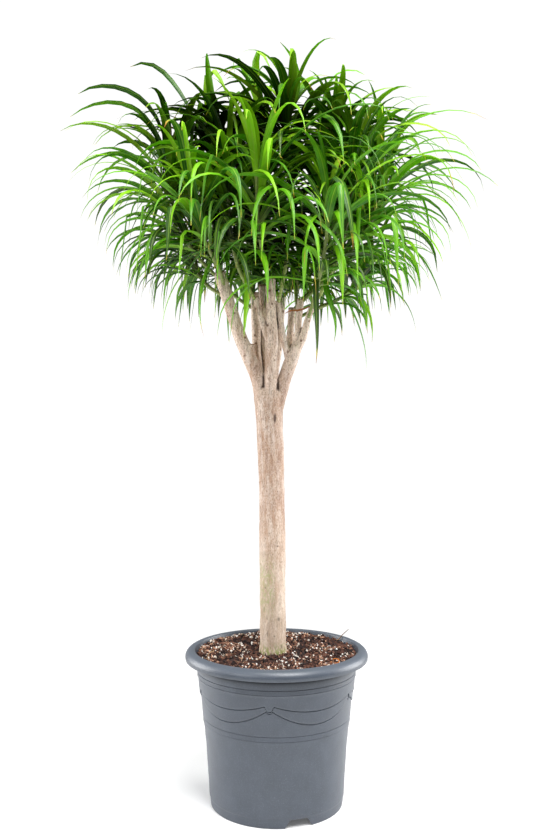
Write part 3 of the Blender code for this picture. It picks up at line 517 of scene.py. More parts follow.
def corky_bark():
    """Pale tan cork: rosy patches, fine grain, thin fissures, brown pores and scars, damp algae, painted
    light on the young limbs, and painted shade in holes and creases.
    """
    material, tree, shader = new_material("pale_corky_bark", {"Roughness": 0.85})
    place = add_node(tree, "ShaderNodeTexCoord").outputs["Object"]

    def stretched_noise(wide_mm, tall_mm, detail):
        """Noise whose spots are this wide and this tall."""
        scale = (1 / (wide_mm * MM), 1 / (wide_mm * MM), 1 / (tall_mm * MM))
        squeezed = add_node(tree, "ShaderNodeMapping", {"Vector": place, "Scale": scale})
        spots = add_node(tree, "ShaderNodeTexNoise", {"Vector": squeezed.outputs[0], "Scale": 1,
                                                      "Detail": detail})
        return spots.outputs[0]

    coats = []
    patches = stretched_noise(22, 75, 4)
    grain = stretched_noise(1.7, 3.6, 4)
    seams = stretched_noise(4, 34, 3)
    colour = add_node(tree, "ShaderNodeValToRGB", {0: patches}, stops=[
        (0.34, "#ad9080"), (0.48, "#c6ab98"), (0.62, "#d6c2b3")]).outputs[0]
    x, _, z = add_node(tree, "ShaderNodeSeparateXYZ", {0: place}).outputs
    young = add_node(tree, "ShaderNodeMapRange", {0: z, 1: 740 * MM, 2: 860 * MM})
    # Young limbs are painted lighter: partly their paler young bark, partly painted light where the crown
    # shades them.
    pale_young_bark_and_painted_light = add_node(tree, "ShaderNodeMath", {0: young.outputs[0], 1: 0.75}, operation="MULTIPLY")
    coats.append((pale_young_bark_and_painted_light.outputs[0], "#ffe9d7"))
    dark_grain = add_node(tree, "ShaderNodeValToRGB", {0: grain}, stops=[(0.34, 0.7), (0.48, 0.0)])
    coats.append((dark_grain.outputs[0], "#93745c"))
    light_grain = add_node(tree, "ShaderNodeValToRGB", {0: grain}, stops=[(0.54, 0.0), (0.7, 0.6)])
    coats.append((light_grain.outputs[0], "#ede1d8"))
    stains = add_node(tree, "ShaderNodeValToRGB", {0: stretched_noise(8, 26, 5)},
                      stops=[(0.44, 0.0), (0.62, 0.55)])
    weather_side = add_node(tree, "ShaderNodeMapRange", {0: x, 1: 14 * MM, 2: -6 * MM, 3: 0.2})
    stained = add_node(tree, "ShaderNodeMath", {0: stains.outputs[0], 1: weather_side.outputs[0]},
                       operation="MULTIPLY")
    coats.append((stained.outputs[0], "#a57c5e"))
    bleached = add_node(tree, "ShaderNodeValToRGB", {0: stretched_noise(8, 60, 4)},
                        stops=[(0.52, 0.0), (0.7, 0.35)])
    coats.append((bleached.outputs[0], "#f1e7df"))
    fissure = add_node(tree, "ShaderNodeValToRGB", {0: seams}, stops=[
        (0.465, 0.0), (0.495, 0.5), (0.505, 0.5), (0.535, 0.0)])
    coats.append((fissure.outputs[0], "#80614b"))
    pores = add_node(tree, "ShaderNodeTexVoronoi", {"Vector": place, "Scale": 1 / (7 * MM)})
    pore = add_node(tree, "ShaderNodeValToRGB", {0: pores.outputs["Distance"]},
                    stops=[(0.08, 0.75), (0.15, 0.0)])
    coats.append((pore.outputs[0], "#5b3e2c"))
    scars = add_node(tree, "ShaderNodeTexVoronoi", {"Vector": place, "Scale": 1 / (15 * MM)})
    scar = add_node(tree, "ShaderNodeValToRGB", {0: scars.outputs["Distance"]},
                    stops=[(0.11, 0.85), (0.2, 0.0)])
    young_scar = add_node(tree, "ShaderNodeMath", {0: scar.outputs[0], 1: young.outputs[0]},
                          operation="MULTIPLY")
    coats.append((young_scar.outputs[0], "#6b4630"))
    # Painted shade: each hole is only a dark spot of colour, the shade inside it, not cut into the bark.
    for hole_x, hole_y, hole_z, radius, tallness in BARK_HOLES:
        away = add_node(tree, "ShaderNodeVectorMath", {
            0: place, 1: (hole_x * MM, hole_y * MM, hole_z * MM)}, operation="SUBTRACT")
        squeezed = add_node(tree, "ShaderNodeVectorMath", {0: away.outputs[0], 1: (
            1, 0.4, 1 / tallness)}, operation="MULTIPLY")
        reach = add_node(tree, "ShaderNodeVectorMath", {0: squeezed.outputs[0]}, operation="LENGTH")
        hole = add_node(tree, "ShaderNodeMapRange", {0: reach.outputs["Value"], 1: radius * MM,
                                                     2: 1.9 * radius * MM, 3: 0.9, 4: 0.0})
        coats.append((hole.outputs[0], "#3f281a"))
    band = add_node(tree, "ShaderNodeValToRGB", {0: add_node(tree, "ShaderNodeMapRange", {
        0: z, 1: 320 * MM, 2: 480 * MM}).outputs[0]}, stops=[
        (0.1, 0.0), (0.3, 1.0), (0.65, 1.0), (0.95, 0.0)])
    left = add_node(tree, "ShaderNodeMapRange", {0: x, 1: 1 * MM, 2: -9 * MM})
    side = add_node(tree, "ShaderNodeMath", {0: band.outputs[0], 1: left.outputs[0]},
                    operation="MULTIPLY")
    film = add_node(tree, "ShaderNodeMapRange", {0: stretched_noise(3, 7, 5), 1: 0.4, 2: 0.62,
                                                 4: 0.75})
    algae = add_node(tree, "ShaderNodeMath", {0: side.outputs[0], 1: film.outputs[0]},
                     operation="MULTIPLY")
    coats.append((algae.outputs[0], "#8c9150"))
    rubbed = add_node(tree, "ShaderNodeMapRange", {0: z, 1: 560 * MM, 2: 340 * MM, 4: 0.28})
    coats.append((rubbed.outputs[0], "#f1e2c9"))
    foot = add_node(tree, "ShaderNodeMapRange", {0: z, 1: 302 * MM, 2: 280 * MM})
    cushion = add_node(tree, "ShaderNodeMapRange", {0: stretched_noise(4, 9, 4), 1: 0.46, 2: 0.56,
                                                    4: 0.85})
    moss = add_node(tree, "ShaderNodeMath", {0: foot.outputs[0], 1: cushion.outputs[0]},
                    operation="MULTIPLY")
    coats.append((moss.outputs[0], "#7f8c35"))
    # Painted shade: the deeper a point lies in a crease, the darker the bark is painted.
    crease = add_node(tree, "ShaderNodeAttribute", attribute_name="crease").outputs["Fac"]
    painted_crease_shade = add_node(tree, "ShaderNodeMapRange", {0: crease, 1: 0.08, 2: 0.75, 4: 0.94})
    coats.append((painted_crease_shade.outputs[0], "#32211a"))
    for amount, coat in coats:
        colour = add_node(tree, "ShaderNodeMix", {0: amount, 6: colour, 7: linear(coat)},
                          data_type="RGBA").outputs[2]
    tree.links.new(colour, shader.inputs["Base Color"])
    relief = add_node(tree, "ShaderNodeMath", {0: grain, 1: fissure.outputs[0]}, operation="SUBTRACT")
    bump = add_node(tree, "ShaderNodeBump", {"Height": relief.outputs[0], "Strength": 0.8,
                                             "Distance": 0.8 * MM})
    tree.links.new(bump.outputs[0], shader.inputs["Normal"])
    return material


bark = corky_bark()

# %% [markdown]
# ## Trunk and limbs
#
# The grower cut the trunk's top and pruned each limb, so every limb ends in a flat cut. Each one is a line
# of places and radii, the same lines as in the solid model. Geometry Nodes turn the lines into tubes, and a
# voxel remesh melts the tubes into one skin with soft creases where limbs meet.

# %% The lines of the wood, in millimetres: x, y, z and radius
TRUNK_LINE = [
    (-6.7, 0, 130.3, 26.5), (-6.7, 0, 262, 27.0), (-6.7, 0, 300, 24.8), (-7.2, 0, 380, 23.9),
    (-7.8, 0, 470, 24.6), (-8.8, 0, 560, 23.8), (-10.4, 0, 640, 24.6), (-12.8, 0, 700, 25.0),
    (-14.4, 0, 738, 26.4), (-15.0, 0, 758, 27.6), (-15.2, 0, 771, 23.0),
]
LIMBS = {
    "left": [(-25, -3, 732, 14), (-31, -5, 774, 14), (-42, -9, 806, 13.4), (-56, -14, 838, 13),
             (-70, -19, 873, 12), (-86, -24, 921, 11.4), (-101, -28, 968, 11.2),
             (-104, -28, 981, 11.2)],
    "left_stub": [(-50, -14, 826, 6), (-47.5, -16, 842, 5.6), (-46, -17, 851, 5.2)],
    "middle_left": [(-24, 12, 745, 11), (-34, 20, 800, 9), (-38, 28, 845, 8.4), (-39, 36, 890, 8.8),
                    (-41, 42, 935, 8.2), (-41.5, 43, 954, 8.2)],
    "middle_back": [(-16, 16, 745, 12), (-24, 32, 805, 9.6), (-27, 44, 850, 8.8), (-27, 54, 905, 8.2),
                    (-27, 61, 953, 7.8), (-27, 62, 971, 7.8)],
    "front": [(-13, -9, 735, 14.5), (-11, -17, 795, 11.8), (-9, -24, 860, 12),
              (-10, -28, 905, 9.2), (-11, -31, 950, 8.8), (-11, -31, 970, 8.8)],
    "front_twig": [(-12, -25, 850, 6), (-22, -28, 876, 5.8), (-34, -30, 915, 5.8), (-38, -31, 936, 5.6)],
    "right": [(-2, -2, 735, 15), (13, -4, 782, 12.8), (27, -6, 822, 12.6), (38, -8, 848, 9.8)],
    "right_inner": [(24, -8, 818, 8), (17, -13, 845, 6.4), (9, -17, 880, 6.2), (3, -20, 914, 6),
                    (1, -20, 930, 6)],
    "right_back": [(25, -3, 815, 9), (25, 8, 850, 7.4), (27, 18, 888, 7), (29, 24, 922, 6.8)],
    "right_middle": [(31, -6, 832, 9), (38, -4, 862, 7), (41, -2, 900, 6.6), (45, -1, 936, 6.4)],
    "right_outer": [(35, -8, 840, 8.6), (48, -10, 862, 7), (57, -13, 895, 6.4), (65, -16, 919, 6.2)],
    "back": [(-11, 14, 745, 12), (-6, 32, 800, 10.2), (2, 46, 850, 9.2), (7, 58, 905, 8.6),
             (9, 64, 950, 8.4)],
}


def limb_points(line):
    return [Vector(point[:3]) * MM for point in line]


def limb_radii(line):
    return [point[3] * MM for point in line]


# %% The tree that turns lines into tubes
def tube_tree():
    """Round tubes along lines, each point with its own radius."""
    tree, given = new_tree("tubes_along_lines", {"Sides": "Int", "Step": "Float", "Material": "Material"})
    lines = add_node(tree, "GeometryNodeMeshToCurve", {0: given["Geometry"]})
    smooth = add_node(tree, "GeometryNodeCurveSplineType", {0: lines.outputs[0]},
                      spline_type="CATMULL_ROM")
    even = add_node(tree, "GeometryNodeResampleCurve", {0: smooth.outputs[0], "Length": given["Step"]},
                    mode="LENGTH")
    ring = add_node(tree, "GeometryNodeCurvePrimitiveCircle", {"Resolution": given["Sides"],
                                                               "Radius": 1.0})
    radius = add_node(tree, "GeometryNodeInputNamedAttribute", {"Name": "radius"})
    tubes = add_node(tree, "GeometryNodeCurveToMesh", {
        0: even.outputs[0], 1: ring.outputs[0], "Scale": radius.outputs[0], "Fill Caps": True})
    realised = add_node(tree, "GeometryNodeRealizeInstances", {0: tubes.outputs[0]})
    dressed = add_node(tree, "GeometryNodeSetMaterial", {0: realised.outputs[0],
                                                         "Material": given["Material"]})
    add_node(tree, "NodeGroupOutput", {0: dressed.outputs[0]})
    return tree


# %% Melt the tubes into one skin
tubes_along_lines = tube_tree()
wood_lines = [TRUNK_LINE, *LIMBS.values()]
wood_mesh = line_mesh("wood_lines", [limb_points(line) for line in wood_lines],
                      radius=[radius for line in wood_lines for radius in limb_radii(line)])
trunk = grow("trunk_and_limbs", tubes_along_lines, wood_mesh, {"Sides": 40, "Step": 3 * MM,
                                                               "Material": bark})
melt = trunk.modifiers.new("melt", "REMESH")
melt.mode = "VOXEL"
melt.voxel_size = 1.8 * MM
settle(trunk)
print("skin points:", len(trunk.data.vertices))

# %% [markdown]
# ## Relief of the bark
#
# The remeshed skin is smooth, and real wood isn't. Slow noise swells and pinches the stem by most of a
# millimetre, and a noise that is stretched along the stem opens shallow fissures. Each point moves along its
# own normal. A point that lies deeper than its neighbours' average is in a crease between limbs, where shade
# gathers, so that depth is kept to paint that shade into the bark's colour.

# %% Relief of the bark
SWELLING = 0.9 * MM
FISSURE_DEPTH = 0.7 * MM
CREASE_ROUNDS = 40
CREASE_DEPTH = 2.4 * MM


def creases(mesh):
    """For each point, how deep it lies below its surroundings: 0 on open bark, 1 in a crease."""
    count = len(mesh.vertices)
    start = np.empty(count * 3, np.float32)
    mesh.vertices.foreach_get("co", start)
    start = start.reshape(count, 3).astype(float)
    normals = np.empty(count * 3, np.float32)
    mesh.vertices.foreach_get("normal", normals)
    ends = np.empty(len(mesh.edges) * 2, np.int32)
    mesh.edges.foreach_get("vertices", ends)
    one, other = ends.reshape(-1, 2).T
    degree = np.bincount(ends, minlength=count)
    place = start.copy()
    for _ in range(CREASE_ROUNDS):
        for axis in range(3):
            total = (np.bincount(one, place[other, axis], count)
                     + np.bincount(other, place[one, axis], count))
            place[:, axis] = total / degree
    depth = ((place - start) * normals.reshape(count, 3)).sum(axis=1)
    return np.clip(depth / CREASE_DEPTH, 0, 1)


def bark_relief(place):
    """How far a point of the bark stands out, in metres."""
    swelling = noise.noise(place / (26 * MM)) * SWELLING
    stretched = Vector((place.x / (4.2 * MM), place.y / (4.2 * MM), place.z / (26 * MM)))
    fissure = max(0, abs(noise.noise(stretched)) * -5 + 1)
    return swelling - fissure * FISSURE_DEPTH


trunk_mesh = trunk.data
crease = trunk_mesh.attributes.new("crease", "FLOAT", "POINT")
crease.data.foreach_set("value", creases(trunk_mesh).astype(np.float32))
moved = [vertex.co + vertex.normal * bark_relief(vertex.co) for vertex in trunk_mesh.vertices]
trunk_mesh.vertices.foreach_set("co", np.array(moved, np.float32).ravel())
trunk_mesh.update()
trunk_mesh.materials.clear()
trunk_mesh.materials.append(bark)
finish_piece(trunk, "bark", "trunk", sharp=60)

# %% [markdown]
# ## Cut ends
#
# A pruned limb shows a sawn face: dry, greyed end grain inside a thin rim of bark. Each face is a shallow
# disc, and Geometry Nodes set one on every cut end, turned to the limb's direction and scaled to its radius.


# %% Sawn end grain
def sawn_end_grain():
    """Weathered pale wood with faint rings, darker at the rim where the bark starts."""
    material, tree, shader = new_material("sawn_end_grain", {"Roughness": 0.9})
    place = add_node(tree, "ShaderNodeTexCoord").outputs["Object"]
    radial = add_node(tree, "ShaderNodeAttribute", attribute_name="radial")
    cloud = add_node(tree, "ShaderNodeTexNoise", {"Vector": place, "Scale": 1 / (2 * MM), "Detail": 3})
    rough = add_node(tree, "ShaderNodeMath", {0: cloud.outputs[0], 1: 0.3}, operation="MULTIPLY")
    mixed = add_node(tree, "ShaderNodeMath", {0: radial.outputs["Fac"], 1: rough.outputs[0]},
                     operation="ADD")
    colour = add_node(tree, "ShaderNodeValToRGB", {0: mixed.outputs[0]}, stops=[
        (0.1, "#8a6b52"), (0.3, "#d2b99c"), (0.75, "#c3a789"), (1.0, "#8b6b50")])
    tree.links.new(colour.outputs[0], shader.inputs["Base Color"])
    bump = add_node(tree, "ShaderNodeBump", {"Height": cloud.outputs[0], "Strength": 0.6,
                                             "Distance": 0.5 * MM})
    tree.links.new(bump.outputs[0], shader.inputs["Normal"])
    return material


def disc_tree():
    """A shallow disc on every point, turned to the point's direction and scaled to its radius."""
    tree, given = new_tree("discs_on_points", {"Sides": "Int", "Thickness": "Float",
                                               "Material": "Material"})
    disc = add_node(tree, "GeometryNodeMeshCylinder", {
        "Vertices": given["Sides"], "Radius": 1.0, "Depth": given["Thickness"]},
        fill_type="TRIANGLE_FAN")
    place = add_node(tree, "GeometryNodeInputPosition").outputs[0]
    x, y, _ = add_node(tree, "ShaderNodeSeparateXYZ", {0: place}).outputs
    flat = add_node(tree, "ShaderNodeCombineXYZ", {0: x, 1: y})
    radial = add_node(tree, "ShaderNodeVectorMath", {0: flat.outputs[0]}, operation="LENGTH")
    marked = add_node(tree, "GeometryNodeStoreNamedAttribute", {
        0: disc.outputs["Mesh"], "Name": "radial", "Value": radial.outputs["Value"]})
    direction = add_node(tree, "GeometryNodeInputNamedAttribute", {"Name": "direction"},
                         data_type="FLOAT_VECTOR")
    turned = add_node(tree, "FunctionNodeAlignRotationToVector", {"Vector": direction.outputs[0]},
                      axis="Z")
    radius = add_node(tree, "GeometryNodeInputNamedAttribute", {"Name": "radius"}).outputs[0]
    size = add_node(tree, "ShaderNodeCombineXYZ", {0: radius, 1: radius, 2: 1.0})
    placed = add_node(tree, "GeometryNodeInstanceOnPoints", {
        "Points": given["Geometry"], "Instance": marked.outputs[0], "Rotation": turned.outputs[0],
        "Scale": size.outputs[0]})
    realised = add_node(tree, "GeometryNodeRealizeInstances", {0: placed.outputs[0]})
    dressed = add_node(tree, "GeometryNodeSetMaterial", {0: realised.outputs[0],
                                                         "Material": given["Material"]})
    add_node(tree, "NodeGroupOutput", {0: dressed.outputs[0]})
    return tree


# %% Set the cut ends
cut_lines = [limb_points(line) for name, line in LIMBS.items() if name != "right"]
cut_radii = [limb_radii(line)[-1] * 0.97 for name, line in LIMBS.items() if name != "right"]
directions = [(line[-1] - line[-2]).normalized() for line in cut_lines]
cut_mesh = line_mesh("cut_ends", [[line[-1] + direction * 0.2 * MM]
                                  for line, direction in zip(cut_lines, directions)],
                     radius=cut_radii, direction=directions)
cut_faces = grow("sawn_limb_ends", disc_tree(), cut_mesh, {"Sides": 28, "Thickness": 1.6 * MM,
                                                           "Material": sawn_end_grain()})
finish_piece(cut_faces, "bark")

# %% [markdown]
# ## Where the leaves grow
#
# Each shoot sprouts below a cut end and curves up to its growing tip. Its leaves leave the stem in a golden
# angle spiral. Low leaves spread and hang, and top ones stand up and are young. The same seeded rule as in
# the solid model places the first leaves, so that each shoot keeps its form, and a leaf that would touch
# another is drawn again.

# %% The shoots: limb, distance below its cut end, exit turn and rise, growing tip
SHOOTS = {
    "left": ("left", 14, 190, 40, (-200, -14, 1182)),
    "left_front": ("left", 30, 262, 38, (-150, -125, 1105)),
    "left_low": ("left", 48, 150, 28, (-160, 76, 1070)),
    "fan": ("front_twig", 7, 215, 50, (-86, -92, 1165)),
    "top_left": ("middle_left", 10, 140, 60, (-116, 44, 1244)),
    "back_left": ("middle_left", 32, 165, 30, (-128, 150, 1140)),
    "top_back": ("middle_back", 9, 60, 62, (-26, 92, 1270)),
    "back": ("middle_back", 30, 100, 30, (-30, 198, 1110)),
    "front": ("front", 12, 250, 48, (-34, -180, 1128)),
    "top": ("right_inner", 6, 300, 62, (20, -42, 1274)),
    "front_right": ("right_outer", 22, 285, 40, (88, -160, 1095)),
    "right_front": ("right_outer", 6, 330, 55, (138, -70, 1180)),
    "right": ("right_middle", 8, 10, 45, (200, 4, 1172)),
    "top_right": ("right_middle", 26, 110, 58, (108, 28, 1238)),
    "back_right": ("right_back", 8, 50, 42, (146, 138, 1130)),
    "right_low": ("right_back", 26, 20, 30, (190, 66, 1030)),
    "back_low": ("back", 12, 75, 34, (60, 186, 1050)),
}
STEM_RADIUS = 3.9 * MM
STEM_BASE_RADIUS = 3.4 * MM
STEM_TIP_RADIUS = 3 * MM
STEM_POINTS = 7
SOCKET_REACH = 22 * MM


def point_below_end(line, below):
    """The point on a limb's axis at a distance below its cut end."""
    points = limb_points(line)
    for i in range(len(points) - 1, 0, -1):
        run = (points[i] - points[i - 1]).length
        if below <= run:
            return points[i].lerp(points[i - 1], below / run)
        below -= run
    raise ValueError("the limb is shorter than that")


def heading_vector(turn, rise):
    flat = math.cos(rise)
    return Vector((flat * math.cos(turn), flat * math.sin(turn), math.sin(rise)))


def stem_line(root, exit_direction, tip):
    """A shoot's axis: out of the limb in a straight line, then curving up to its growing tip."""
    reach = (tip - root).length
    socket = root + exit_direction * SOCKET_REACH
    controls = [socket, socket + exit_direction * reach * 0.3, tip - UP * reach * 0.34, tip]
    points = [root]
    for i in range(STEM_POINTS - 1):
        t = i / (STEM_POINTS - 2)
        weights = [(1 - t) ** 3, 3 * t * (1 - t) ** 2, 3 * t * t * (1 - t), t ** 3]
        points.append(sum((w * c for w, c in zip(weights, controls)), Vector((0, 0, 0))))
    return points


def stem_radii():
    radii = [STEM_BASE_RADIUS, STEM_BASE_RADIUS]
    for i in range(2, STEM_POINTS):
        share = (i - 2) / (STEM_POINTS - 3)
        radii.append(STEM_RADIUS + share * (STEM_TIP_RADIUS - STEM_RADIUS))
    return radii


def point_along(points, share):
    """The point at a share of a line's length."""
    runs = [(b - a).length for a, b in zip(points, points[1:])]
    left = share * sum(runs)
    for i, run in enumerate(runs):
        if left <= run or i == len(runs) - 1:
            return points[i].lerp(points[i + 1], min(1, left / run))
        left -= run


# %% [markdown]
# ## One leaf
#
# A blade sets out at its rise and sinks under its own weight, slowly at first and then faster. Some blades
# have broken over and hang from a kink. The blade is widest at a third of its length and ends in a thread.

# %% One leaf
LEAF_WIDTH = 15.5 * MM
LEAF_KEEL = 1.7 * MM
LEAF_STEPS = 20
LEAF_RINGS = (0, 5, 10, 15, 20)
GOLDEN_TURN = math.radians(137.508)
LOW_RISE = 18
RISE_GAIN = 58
KINK_DROP = math.radians(75)
KINKED_PART = 0.12
UNKINKED = 2
STEEPEST = math.radians(-82)
WIDEST_SHARE = 0.34
TAPER_SHARE = 0.66
LEAN_REACH = 0.2
TURNED_BACK = -0.35
YOUNG_SHARE = 0.75


def leaf_line(leaf):
    """Centre line of an arching leaf."""
    points = [leaf["root"]]
    for i in range(LEAF_STEPS):
        share = (i + 0.5) / LEAF_STEPS
        rise = leaf["rise"] - leaf["droop"] * share ** 1.7
        if share > leaf["kink"]:
            rise -= KINK_DROP
        rise = max(rise, STEEPEST)
        turn = leaf["turn"] + leaf["drift"] * share
        points.append(points[-1] + heading_vector(turn, rise) * leaf["length"] / LEAF_STEPS)
    return points


def leaf_width(share):
    """Width of the blade as a part of its widest: narrow at the stem, widest near a third, pointed."""
    if share < WIDEST_SHARE:
        return 0.28 + 0.72 * math.sin(math.pi / 2 * share / WIDEST_SHARE)
    return 1 - ((share - WIDEST_SHARE) / TAPER_SHARE) ** 2.1


def leaf_frame(leaf, points, i):
    """The blade's side and underside directions at a point of its centre line."""
    share = i / LEAF_STEPS
    along = (points[min(i + 1, LEAF_STEPS)] - points[max(i - 1, 0)]).normalized()
    turn = leaf["turn"] + leaf["drift"] * share
    side = Vector((-math.sin(turn), math.cos(turn), 0))
    side = Matrix.Rotation(leaf["roll"] * share, 3, along) @ side
    side = (side - along * side.dot(along)).normalized()
    under = side.cross(along).normalized()
    if under.z > 0 and abs(along.z) < 0.9:
        under = -under
    return side, under


def leaf_section(leaf, points, i, extra=0.0):
    """Left edge, right edge and keel of the blade at a point of its centre line."""
    side, under = leaf_frame(leaf, points, i)
    share = i / LEAF_STEPS
    half = (leaf["width"] * leaf_width(share)) / 2 + extra
    keel = LEAF_KEEL * (0.45 + 0.55 * leaf_width(share)) + extra
    centre = points[i]
    return centre + side * half, centre - side * half, centre + under * keel


def draw_leaf(rng, stem, order, count):
    """One leaf drawn by its place on the stem: low ones spread and hang, top ones stand and are young."""
    outward = Vector((stem[-1].x, stem[-1].y, 0)) / LEAN_REACH
    share = (order + 0.5) / count
    height = 0.30 + 0.69 * share
    turn = order * GOLDEN_TURN + rng.uniform(-0.35, 0.35)
    away = heading_vector(turn, 0).dot(outward)
    if away < TURNED_BACK and share < YOUNG_SHARE:
        turn = math.atan2(outward.y, outward.x) + rng.uniform(-1.9, 1.9)
    rise = math.radians(LOW_RISE + RISE_GAIN * share ** 1.4 + rng.uniform(-12, 12))
    droop = math.radians(126 - 14 * share + rng.uniform(-26, 30))
    kink = rng.uniform(0.5, 0.62) if rng.random() < KINKED_PART else UNKINKED
    return {
        "root": point_along(stem, height),
        "turn": turn,
        "rise": rise,
        "droop": droop,
        "drift": rng.uniform(-0.5, 0.5),
        "roll": rng.uniform(-0.7, 0.7),
        "kink": round(kink * LEAF_STEPS) / LEAF_STEPS,
        "length": rng.uniform(0.225, 0.31) * (1 - 0.35 * max(0, share - YOUNG_SHARE) / 0.25),
        "width": LEAF_WIDTH * rng.uniform(0.8, 1.08),
    }


# %% [markdown]
# ## Keeping leaves apart
#
# The main leaves crowd each other but never grow through each other or through the wood. A plain closed
# shell round each blade goes in a search tree, which finds a crossing quickly. The crown's outline is an
# egg with its broad end up, and a leaf that would leave it is drawn shorter.

# %% Tests for a new leaf
CROWN_CENTRE = Vector((0, 0, 1.21))
CROWN_RADIUS = 0.402
CROWN_UP = 0.185
CROWN_DOWN = 0.40
CROWN_UP_POWER = 2.8
CROWN_DOWN_POWER = 1.7
LEAF_SHORTEST = 110 * MM
LEAF_CLEARANCE = 0.6 * MM
WOOD_CLEARANCE = 6 * MM
LEAF_TRIES = 40
SHRINK_TRIES = 12
SHRINK = 0.94


def leaf_shell(leaf, rings=LEAF_RINGS, extra=0.0):
    """Vertices and triangles of one closed blade, each side quad split along its outer diagonal."""
    points = leaf_line(leaf)
    corners = []
    for i in rings[:-1]:
        corners.extend(leaf_section(leaf, points, i, extra))
    corners.append(points[rings[-1]])
    faces = [(0, 1, 2)]
    ring_count = len(rings) - 1
    for ring in range(ring_count - 1):
        a = ring * 3
        middle = sum((corners[a + k] for k in range(6)), Vector((0, 0, 0))) / 6
        for k, m in ((0, 1), (1, 2), (2, 0)):
            p, q, r, s = a + k, a + m, a + 3 + m, a + 3 + k
            one = (corners[p] + corners[r]) / 2
            other = (corners[q] + corners[s]) / 2
            if (one - middle).length > (other - middle).length:
                faces.extend([(p, r, q), (p, s, r)])
            else:
                faces.extend([(p, s, q), (q, s, r)])
    last = (ring_count - 1) * 3
    tip = len(corners) - 1
    faces.extend([(last + k, tip, last + m) for k, m in ((0, 1), (1, 2), (2, 0))])
    return corners, faces


def tube_shell(points, radii, extra, sides=6):
    """Vertices and faces of a plain tube, for the search trees only."""
    corners = []
    for i, (point, radius) in enumerate(zip(points, radii)):
        along = (points[min(i + 1, len(points) - 1)] - points[max(i - 1, 0)]).normalized()
        across = along.orthogonal().normalized()
        for k in range(sides):
            spoke = Matrix.Rotation(2 * math.pi * k / sides, 3, along) @ across
            corners.append(point + spoke * (radius + extra))
    faces = []
    for i in range(len(points) - 1):
        for k in range(sides):
            m = (k + 1) % sides
            faces.append((i * sides + k, i * sides + m, (i + 1) * sides + m, (i + 1) * sides + k))
    return corners, faces


def shell_tree(shells):
    """One search tree over many shells."""
    corners = []
    faces = []
    for shell_corners, shell_faces in shells:
        start = len(corners)
        corners.extend(shell_corners)
        faces.extend(tuple(start + i for i in face) for face in shell_faces)
    return BVHTree.FromPolygons(corners, faces)


def crown_level(point):
    """0 at the crown's widest height on the axis, 1 on its outline: blunt above and tapering below."""
    offset = point - CROWN_CENTRE
    flat = math.hypot(offset.x, offset.y) / CROWN_RADIUS
    if offset.z > 0:
        return flat ** CROWN_UP_POWER + (offset.z / CROWN_UP) ** CROWN_UP_POWER
    return flat ** CROWN_DOWN_POWER + (-offset.z / CROWN_DOWN) ** CROWN_DOWN_POWER


def clear_of_wood(points, margin):
    """True where no point comes within the margin of a limb."""
    for line in LIMBS.values():
        limb = limb_points(line)
        radii = limb_radii(line)
        for a, b, radius in zip(limb, limb[1:], radii):
            run = b - a
            for point in points:
                share = max(0, min(1, (point - a).dot(run) / run.length_squared))
                if (point - a - run * share).length < radius + margin:
                    return False
    return True


def fit_to_crown(leaf, level):
    """Shorten a leaf until it stays within this level of the crown, 1 being its outline."""
    for _ in range(SHRINK_TRIES):
        if all(crown_level(point) <= level for point in leaf_line(leaf)):
            return True
        leaf["length"] *= SHRINK
    return False


def has_room(leaf, level=1, step=1):
    """Fit a leaf to the crown, and say whether it is still long enough and clears the wood."""
    return (fit_to_crown(leaf, level) and leaf["length"] >= LEAF_SHORTEST
            and clear_of_wood(leaf_line(leaf)[2::step], WOOD_CLEARANCE))


# %% [markdown]
# ## Laying out the main leaves
#
# The shoots take turns, one leaf each, from the lowest leaf to the youngest. That shares the room out fairly
# and repeats the solid model's draws exactly.

# %% Lay out the main leaves
SHOOT_SEED = 2510
MAIN_LEAVES = 18


def find_leaf(rng, stem, order, others, own):
    """Draw leaves until one clears the wood, the other shoots and its own shoot's blades."""
    for _ in range(LEAF_TRIES):
        leaf = draw_leaf(rng, stem, order, MAIN_LEAVES)
        if not has_room(leaf):
            continue
        if shell_tree([leaf_shell(leaf, LEAF_RINGS[1:], LEAF_CLEARANCE)]).overlap(own):
            continue
        tree = shell_tree([leaf_shell(leaf, extra=LEAF_CLEARANCE)])
        if not any(tree.overlap(other) for other in others):
            return leaf
    return None


def lay_out_shoots():
    """Every shoot's stem and leaves, placed so that no two shoots touch."""
    streams = {name: random.Random(SHOOT_SEED + i) for i, name in enumerate(SHOOTS)}
    stems = {}
    for name, (limb, below, turn, rise, tip) in SHOOTS.items():
        root = point_below_end(LIMBS[limb], below * MM)
        exit_direction = heading_vector(math.radians(turn), math.radians(rise))
        stems[name] = stem_line(root, exit_direction, Vector(tip) * MM)
    leaves = {name: [] for name in SHOOTS}
    whole = {name: [tube_shell(stems[name], stem_radii(), LEAF_CLEARANCE)] for name in SHOOTS}
    free = {name: list(shells) for name, shells in whole.items()}
    for order in range(MAIN_LEAVES):
        trees = {name: shell_tree(shells) for name, shells in whole.items()}
        for name in SHOOTS:
            others = [tree for key, tree in trees.items() if key != name]
            leaf = find_leaf(streams[name], stems[name], order, others, shell_tree(free[name]))
            if leaf:
                leaves[name].append(leaf)
                whole[name].append(leaf_shell(leaf, extra=LEAF_CLEARANCE))
                free[name].append(leaf_shell(leaf, LEAF_RINGS[1:], LEAF_CLEARANCE))
                trees[name] = shell_tree(whole[name])
    return stems, leaves, free


stems, leaves, shells = lay_out_shoots()
print("main leaves:", sum(len(placed) for placed in leaves.values()))

# %% [markdown]
# ## Filling the crown
#
# The solid model has room for only some of the leaves. The rest grow from the same stems, between those.
# Some are slim and reach the outline too. More of them are old leaves that stay deep inside, where they close
# the view through the crown. The lowest sprout from the bare part of the stem and hang over the limbs. A new
# leaf still clears the wood and the main leaves, and after a few tries the crown is simply full there.

